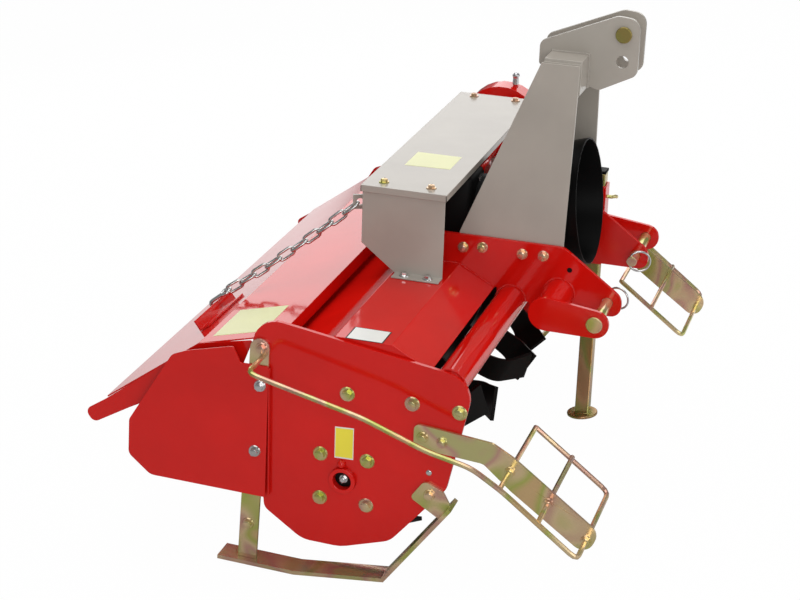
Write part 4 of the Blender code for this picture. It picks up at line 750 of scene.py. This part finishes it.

# Drive line: gearbox, tube and side gear case, cast and welded. The gearbox is flat black, painted shade for
# the dark space behind the guard's opening, with a red cover on its left half and light rings over it. The
# case has screws, two turned caps and a breather.
# The gearbox's flat black is painted shade, not its own colour.
dressed("gearbox", shade_black, edge=0)
dressed("drive_tube", red_enamel, edge=0)
dressed("side_gear_case", red_enamel, edge=0.004)
COVER_CENTRE, COVER_SIZE = (-0.0450, 0.0, 0.365), (0.062, 0.1712, 0.1552)
HOSE_RINGS = (0.026, 0.019, 0.012, 0.005)
HOSE_BOW = ((0, 0.086, 0.402), (-0.002, 0.089, 0.414), (-0.002, 0.087, 0.426), (0, 0.080, 0.436))
HOSE_WIRE = 0.0013
gear_cover = bmesh.new()
block(gear_cover, COVER_CENTRE, COVER_SIZE)
formed("gearbox_cover", gear_cover, red_enamel, edge=0.006)
hose_rings = bmesh.new()
for across in HOSE_RINGS:
    swept(hose_rings, [(across + x, y, z) for x, y, z in HOSE_BOW], HOSE_WIRE)
formed("hose_rings", hose_rings, silver_zinc, angle=80)
CASE_FACE = -0.6603
CASE_LEAN, CASE_RISE = -0.030, 0.350
case_places = []
for middle, radius, turns in (
    ((0.0, 0.0), 0.071, (200, 245, 290, 335)),
    ((CASE_LEAN, CASE_RISE), 0.081, (20, 65, 110, 155)),
):
    for degrees in turns:
        turn = math.radians(degrees)
        spot = (CASE_FACE, middle[0] + radius * math.cos(turn), middle[1] + radius * math.sin(turn))
        case_places.append((spot, (-1, 0, 0)))
for height in (0.110, 0.230):
    for side in (0.072, -0.074):
        case_places.append(((CASE_FACE, side + CASE_LEAN * height / CASE_RISE, height), (-1, 0, 0)))
screws("case_screws", case_places, yellow_zinc, "yellow_zinc", flange_radius=0.0085, head_radius=0.0062)
BREATHER_PLACE = Vector((CASE_FACE + 0.0275, -0.005, 0.458))
BREATHER_RADIUS, BREATHER_HEIGHT, BALL_RADIUS = 0.0078, 0.020, 0.0085
breather_cap = bmesh.new()
disc(breather_cap, BREATHER_PLACE, BREATHER_RADIUS, BREATHER_HEIGHT, upright=True, steps=24, taper=0.8)
ball_put = Matrix.Translation(BREATHER_PLACE + Vector((0, 0, BREATHER_HEIGHT / 2)))
bmesh.ops.create_uvsphere(breather_cap, u_segments=20, v_segments=10, radius=BALL_RADIUS, matrix=ball_put)
formed("breather_cap", breather_cap, silver_zinc)
CAP_FACE, CAP_THICKNESS = CASE_FACE - 0.002, 0.006
case_caps = bmesh.new()
disc(case_caps, (CAP_FACE, 0.0, 0.0), 0.044, CAP_THICKNESS, steps=48)
disc(case_caps, (CAP_FACE, CASE_LEAN, CASE_RISE), 0.048, CAP_THICKNESS, steps=48)
formed("case_caps", case_caps, red_enamel, edge=0.0015)

# Guard over the drive line: folded 3 mm sheet, sprayed silver grey, half gloss. A separate lid laps over its
# walls by a few millimetres and is held by four screws, and two more screws hold its foot.
grey_enamel = enamel("grey_enamel", (0.40, 0.365, 0.32), roughness=0.20, shine=0.5, peel=0.04)
dressed("guard", grey_enamel, edge=0.0008)
GUARD_TOP = 0.458
LID_LEFT, LID_RIGHT, LID_REAR, LID_FRONT = -0.4735, 0.2535, -0.0945, 0.0815
LID_SHEET = 0.0025
LID_RIM_TOP, LID_RIM_LOW = GUARD_TOP + 0.001, GUARD_TOP - 0.011
guard_lid = bmesh.new()
lid_blocks = (
    ((LID_LEFT, LID_REAR, GUARD_TOP), (LID_RIGHT, LID_FRONT, GUARD_TOP + LID_SHEET)),
    ((LID_LEFT, LID_REAR, LID_RIM_LOW), (LID_LEFT + LID_SHEET, LID_FRONT, LID_RIM_TOP)),
    ((LID_RIGHT - LID_SHEET, LID_REAR, LID_RIM_LOW), (LID_RIGHT, LID_FRONT, LID_RIM_TOP)),
    ((LID_LEFT, LID_REAR, LID_RIM_LOW), (LID_RIGHT, LID_REAR + LID_SHEET, LID_RIM_TOP)),
    ((LID_LEFT, LID_FRONT - LID_SHEET, LID_RIM_LOW), (LID_RIGHT, LID_FRONT, LID_RIM_TOP)),
)
for low, high in lid_blocks:
    block(guard_lid, (Vector(low) + Vector(high)) / 2, Vector(high) - Vector(low))
formed("guard_lid", guard_lid, grey_enamel, edge=0.0006)
GUARD_FOOT, FOOT_SHEET = 0.264, 0.0033
lid_places = [((x, y, GUARD_TOP + LID_SHEET), (0, 0, 1)) for x in (0.222, -0.447) for y in (-0.056, 0.041)]
foot_places = [((GUARD_FOOT, y, HOOD_TOP + FOOT_SHEET), (0, 0, 1)) for y in (0.004, 0.052)]
LID_HEAD = {"flange_radius": 0.0105, "head_radius": 0.0070, "head_height": 0.005}
screws("lid_screws", lid_places, yellow_zinc, "yellow_zinc", **LID_HEAD)
screws("guard_foot_screws", foot_places, silver_zinc, "silver_zinc", **LID_HEAD)

# Mast: two folded plates, a square head tube and two clevis plates, welded together and sprayed like the
# guard. The top link's pin of yellow zinc sits in the upper holes.
for grey_piece in (
    "mast_plate_right",
    "mast_plate_left",
    "mast_head",
    "clevis_plate_right",
    "clevis_plate_left",
):
    dressed(grey_piece, grey_enamel, edge=0.001)
dressed("top_link_pin", leg_zinc, edge=0.0012)
CLEVIS_FACES = (0.0348, 0.0252, -0.0348, -0.0252)
CLEVIS_SEAM = ((0.224, 0.7127), (0.2987, 0.7127), (0.2987, 0.646))
HEAD_REAR, HEAD_FRONT = 0.2245, 0.2945
HEAD_SEAMS = ((0.0975, 0.7045), (0.1035, 0.6445))
mast_seams = [[(face, *place) for place in CLEVIS_SEAM] for face in CLEVIS_FACES]
for sign in (1, -1):
    mast_seams += [[(sign * x, y, height) for y in (HEAD_REAR, HEAD_FRONT)] for x, height in HEAD_SEAMS]
welds("mast_welds", mast_seams, grey_enamel, "grey_paint", bead_radius=0.0026)

# Shield and input shaft: a cup of black plastic round the end of the input shaft. The shaft is bright steel,
# and its six splines are milled.
dressed("pto_shield", black_plastic, edge=0.0008)
dressed("pto_shaft", silver_zinc, edge=0.0008)
SHAFT_ROOT = (0, 0.085, 0.372)
SHAFT_TILT = math.radians(7)
SPLINES, SPLINE_WIDTH, SPLINE_HEIGHT, SPLINE_RADIUS = 6, 0.0075, 0.004, 0.0170
SPLINE_START, SPLINE_END = 0.090, 0.1795
along_shaft = Matrix.Translation(SHAFT_ROOT) @ Matrix.Rotation(SHAFT_TILT, 4, "X")
spline_teeth = bmesh.new()
for tooth in range(SPLINES):
    turned = along_shaft @ Matrix.Rotation(math.tau * tooth / SPLINES, 4, "Y")
    centre = (0, (SPLINE_START + SPLINE_END) / 2, SPLINE_RADIUS)
    block(spline_teeth, centre, (SPLINE_WIDTH, SPLINE_END - SPLINE_START, SPLINE_HEIGHT), turned)
shaft_body = frame["nodes"]["pto_shaft"]["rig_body"]
formed("spline_teeth", spline_teeth, silver_zinc, shaft_body, edge=0.0006)

# Rotor: a steel tube with six welded flanges, and four forged blades on each, all dipped in black enamel.
# Two screws hold each blade to its flange, with a head on each side.
black_enamel = enamel("black_enamel", (0.0045, 0.0038, 0.0033), roughness=0.38, shine=0.16, peel=0.25)
RINGS, BLADES = 6, 4
RING_START, RING_STEP = -0.5, 0.2
FIRST_TURN, TURN_STEP = -147, 15
SCREW_CIRCLE, SCREW_SIDE, SCREW_LIFT = 0.060, 0.010, 0.004
for rotor_piece in ("rotor_tube", *("tine_ring_" + str(ring + 1) for ring in range(RINGS))):
    dressed(rotor_piece, black_enamel, edge=0.0006)
tine_places = []
for ring in range(RINGS):
    middle = RING_START + RING_STEP * ring
    for blade in range(BLADES):
        turn = math.radians(FIRST_TURN + TURN_STEP * ring + 360 / BLADES * blade)
        for sideways in (-SCREW_SIDE, SCREW_SIDE):
            across = sideways * math.cos(turn) - SCREW_CIRCLE * math.sin(turn)
            up = sideways * math.sin(turn) + SCREW_CIRCLE * math.cos(turn)
            tine_places.append(((middle + SCREW_LIFT, across, up), (1, 0, 0)))
            tine_places.append(((middle - SCREW_LIFT, across, up), (-1, 0, 0)))
screws(
    "tine_screws",
    tine_places,
    black_enamel,
    "black_steel",
    rotor_body,
    flange_radius=0.0085,
    head_radius=0.0068,
    head_height=0.005,
)

# Tailboard: a folded sheet, sprayed red, hinged behind the hood on a plated rod. It has an upright cheek at
# each end, and a folded bracket that takes the chain is welded on.
tail_body = frame["nodes"]["tailboard"]["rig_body"]
for tail_piece in ("tailboard", "tailboard_cheek_right", "tailboard_cheek_left", "chain_bracket"):
    dressed(tail_piece, red_enamel, edge=0.0006, angle=15)
dressed("tailboard_hinge_rod", yellow_zinc, edge=0.0008)

# Chain: welded links of bright zinc-plated wire. It hangs from a lug on the guard and ends in a hook over the
# tailboard's bracket.
dressed("chain_anchor", grey_enamel, edge=0.001)
dressed("chain", silver_zinc, edge=0, angle=70)

# Side shields, straps and skids: the shields are thin red sheet, the straps and skids flat bar plated with
# yellow zinc. One screw holds each strap's top and one its foot, and two silver screws hold each shield.
for shield in ("side_shield_right", "side_shield_left"):
    dressed(shield, red_enamel, edge=0.0006)
for plated in ("skid_right", "skid_left", "skid_strap_right", "skid_strap_left"):
    dressed(plated, yellow_zinc, edge=0.0008)
STRAP_FACE = HALF_WIDTH + 0.0063
SHIELD_FACE = HALF_WIDTH + 0.0096
STRAP_SCREWS = ((-0.162, 0.244), (-0.188, -0.125))
SHIELD_SCREWS = ((-0.164, 0.169), (-0.174, 0.033))
strap_places = []
shield_places = []
for sign in (1, -1):
    strap_places += [((sign * STRAP_FACE, *place), (sign, 0, 0)) for place in STRAP_SCREWS]
    shield_places += [((sign * SHIELD_FACE, *place), (sign, 0, 0)) for place in SHIELD_SCREWS]
screws("strap_screws", strap_places, yellow_zinc, "yellow_zinc", flange_radius=0.0120, head_radius=0.0088)
screws("shield_screws", shield_places, silver_zinc, "silver_zinc", flange_radius=0.0120, head_radius=0.0082)
FOLD_INSIDE = HALF_WIDTH + 0.0012
FOLD_REAR, FOLD_FRONT = -0.1475, -0.1450
FOLD_LOW, FOLD_HIGH = -0.056, 0.206
shield_folds = bmesh.new()
for sign in (1, -1):
    low = Vector((sign * FOLD_INSIDE, FOLD_REAR, FOLD_LOW))
    high = Vector((sign * SHIELD_FACE, FOLD_FRONT, FOLD_HIGH))
    block(shield_folds, (low + high) / 2, [abs(b - a) for a, b in zip(low, high)])
formed("shield_folds", shield_folds, red_enamel, edge=0.0006)

# Guard bars: flat bars bolted to the end plates, with frames of round rod through them, all plated with
# yellow zinc. A nut sits on the bar where each rod passes it.
for guard_bar in ("guard_bar_right", "guard_bar_left"):
    dressed(guard_bar, yellow_zinc, edge=0.0008)
BAR_SCREWS = ((0.170, 0.002), (0.153, 0.117), (0.190, 0.112))
ROD_NUTS = ((0.3196, 0.077), (0.3941, 0.027), (0.4679, -0.0349))
bar_places = []
rod_places = []
for sign in (1, -1):
    bar_places += [((sign * STRAP_FACE, *place), (sign, 0, 0)) for place in BAR_SCREWS]
    rod_places += [((sign * STRAP_FACE, *place), (sign, 0, 0)) for place in ROD_NUTS]
screws("bar_screws", bar_places, yellow_zinc, "yellow_zinc", flange_radius=0.0110, head_radius=0.0085)
screws("rod_nuts", rod_places, yellow_zinc, "yellow_zinc", flange_radius=0.0100, head_radius=0.0080)

# Labels: printed film on the hood, tailboard, lid and right end plate, left blank. Each is a thin sheet with
# a border under its field.
PRINT_ROUGHNESS, PRINT_SHINE = 0.30, 0.5
label_white = enamel("label_white", (0.78, 0.78, 0.74), PRINT_ROUGHNESS, PRINT_SHINE, peel=0.0)
label_yellow = enamel("label_yellow", (0.86, 0.74, 0.05), PRINT_ROUGHNESS, PRINT_SHINE, peel=0.0)
label_pale = enamel("label_pale", (0.72, 0.72, 0.36), PRINT_ROUGHNESS, PRINT_SHINE, peel=0.0)


FILM_SUNK = 0.0001
BORDER_FILM, FIELD_FILM, FIELD_INSET = 0.0002, 0.0004, 0.003


def film(form, corners, thickness, inset=0.0):
    """A thin sheet on a flat face, from its corners as seen from outside, anticlockwise."""
    spots = [Vector(corner) for corner in corners]
    middle = sum(spots, Vector()) / len(spots)
    out = (spots[1] - spots[0]).cross(spots[2] - spots[1]).normalized()
    drawn = [spot + (middle - spot).normalized() * inset for spot in spots]
    low = [form.verts.new(spot - out * FILM_SUNK) for spot in drawn]
    high = [form.verts.new(spot + out * thickness) for spot in drawn]
    form.faces.new(high)
    form.faces.new(low[::-1])
    for index in range(len(spots)):
        following = (index + 1) % len(spots)
        form.faces.new((low[index], low[following], high[following], high[index]))


TAIL_FOLD = (-0.296, 0.226)
TAIL_REACH = (0.162, 0.041)


def tail_spot(x, share):
    """A place on the tailboard's front plane, by its share of the way from the fold to the front edge."""
    return (x, TAIL_FOLD[0] + TAIL_REACH[0] * share, TAIL_FOLD[1] + TAIL_REACH[1] * share)


PLATE_LABEL = (
    (HALF_WIDTH, -0.018, 0.043),
    (HALF_WIDTH, 0.019, 0.044),
    (HALF_WIDTH, 0.019, 0.109),
    (HALF_WIDTH, -0.018, 0.107),
)
HOOD_LABEL = [(x, y, HOOD_TOP) for x, y in ((0.540, -0.005), (0.597, -0.005), (0.597, 0.067), (0.540, 0.067))]
LID_FACE = GUARD_TOP + LID_SHEET
LID_LABEL = [(x, y, LID_FACE) for x, y in ((0.005, -0.052), (0.100, -0.052), (0.093, 0.042), (0.005, 0.042))]
TAIL_LABEL = (tail_spot(0.420, 0.10), tail_spot(0.560, 0.10), tail_spot(0.560, 0.72), tail_spot(0.420, 0.72))
for label_name, corners, border, field, body in (
    ("plate_label", PLATE_LABEL, label_white, label_yellow, "frame"),
    ("hood_label", HOOD_LABEL, shade_black, label_white, "frame"),
    ("lid_label", LID_LABEL, label_pale, label_pale, "frame"),
    ("tail_label", TAIL_LABEL, label_pale, label_pale, tail_body),
):
    under = bmesh.new()
    film(under, corners, BORDER_FILM)
    formed(label_name + "_border", under, border, body)
    over = bmesh.new()
    film(over, corners, FIELD_FILM, FIELD_INSET)
    formed(label_name + "_field", over, field, body)
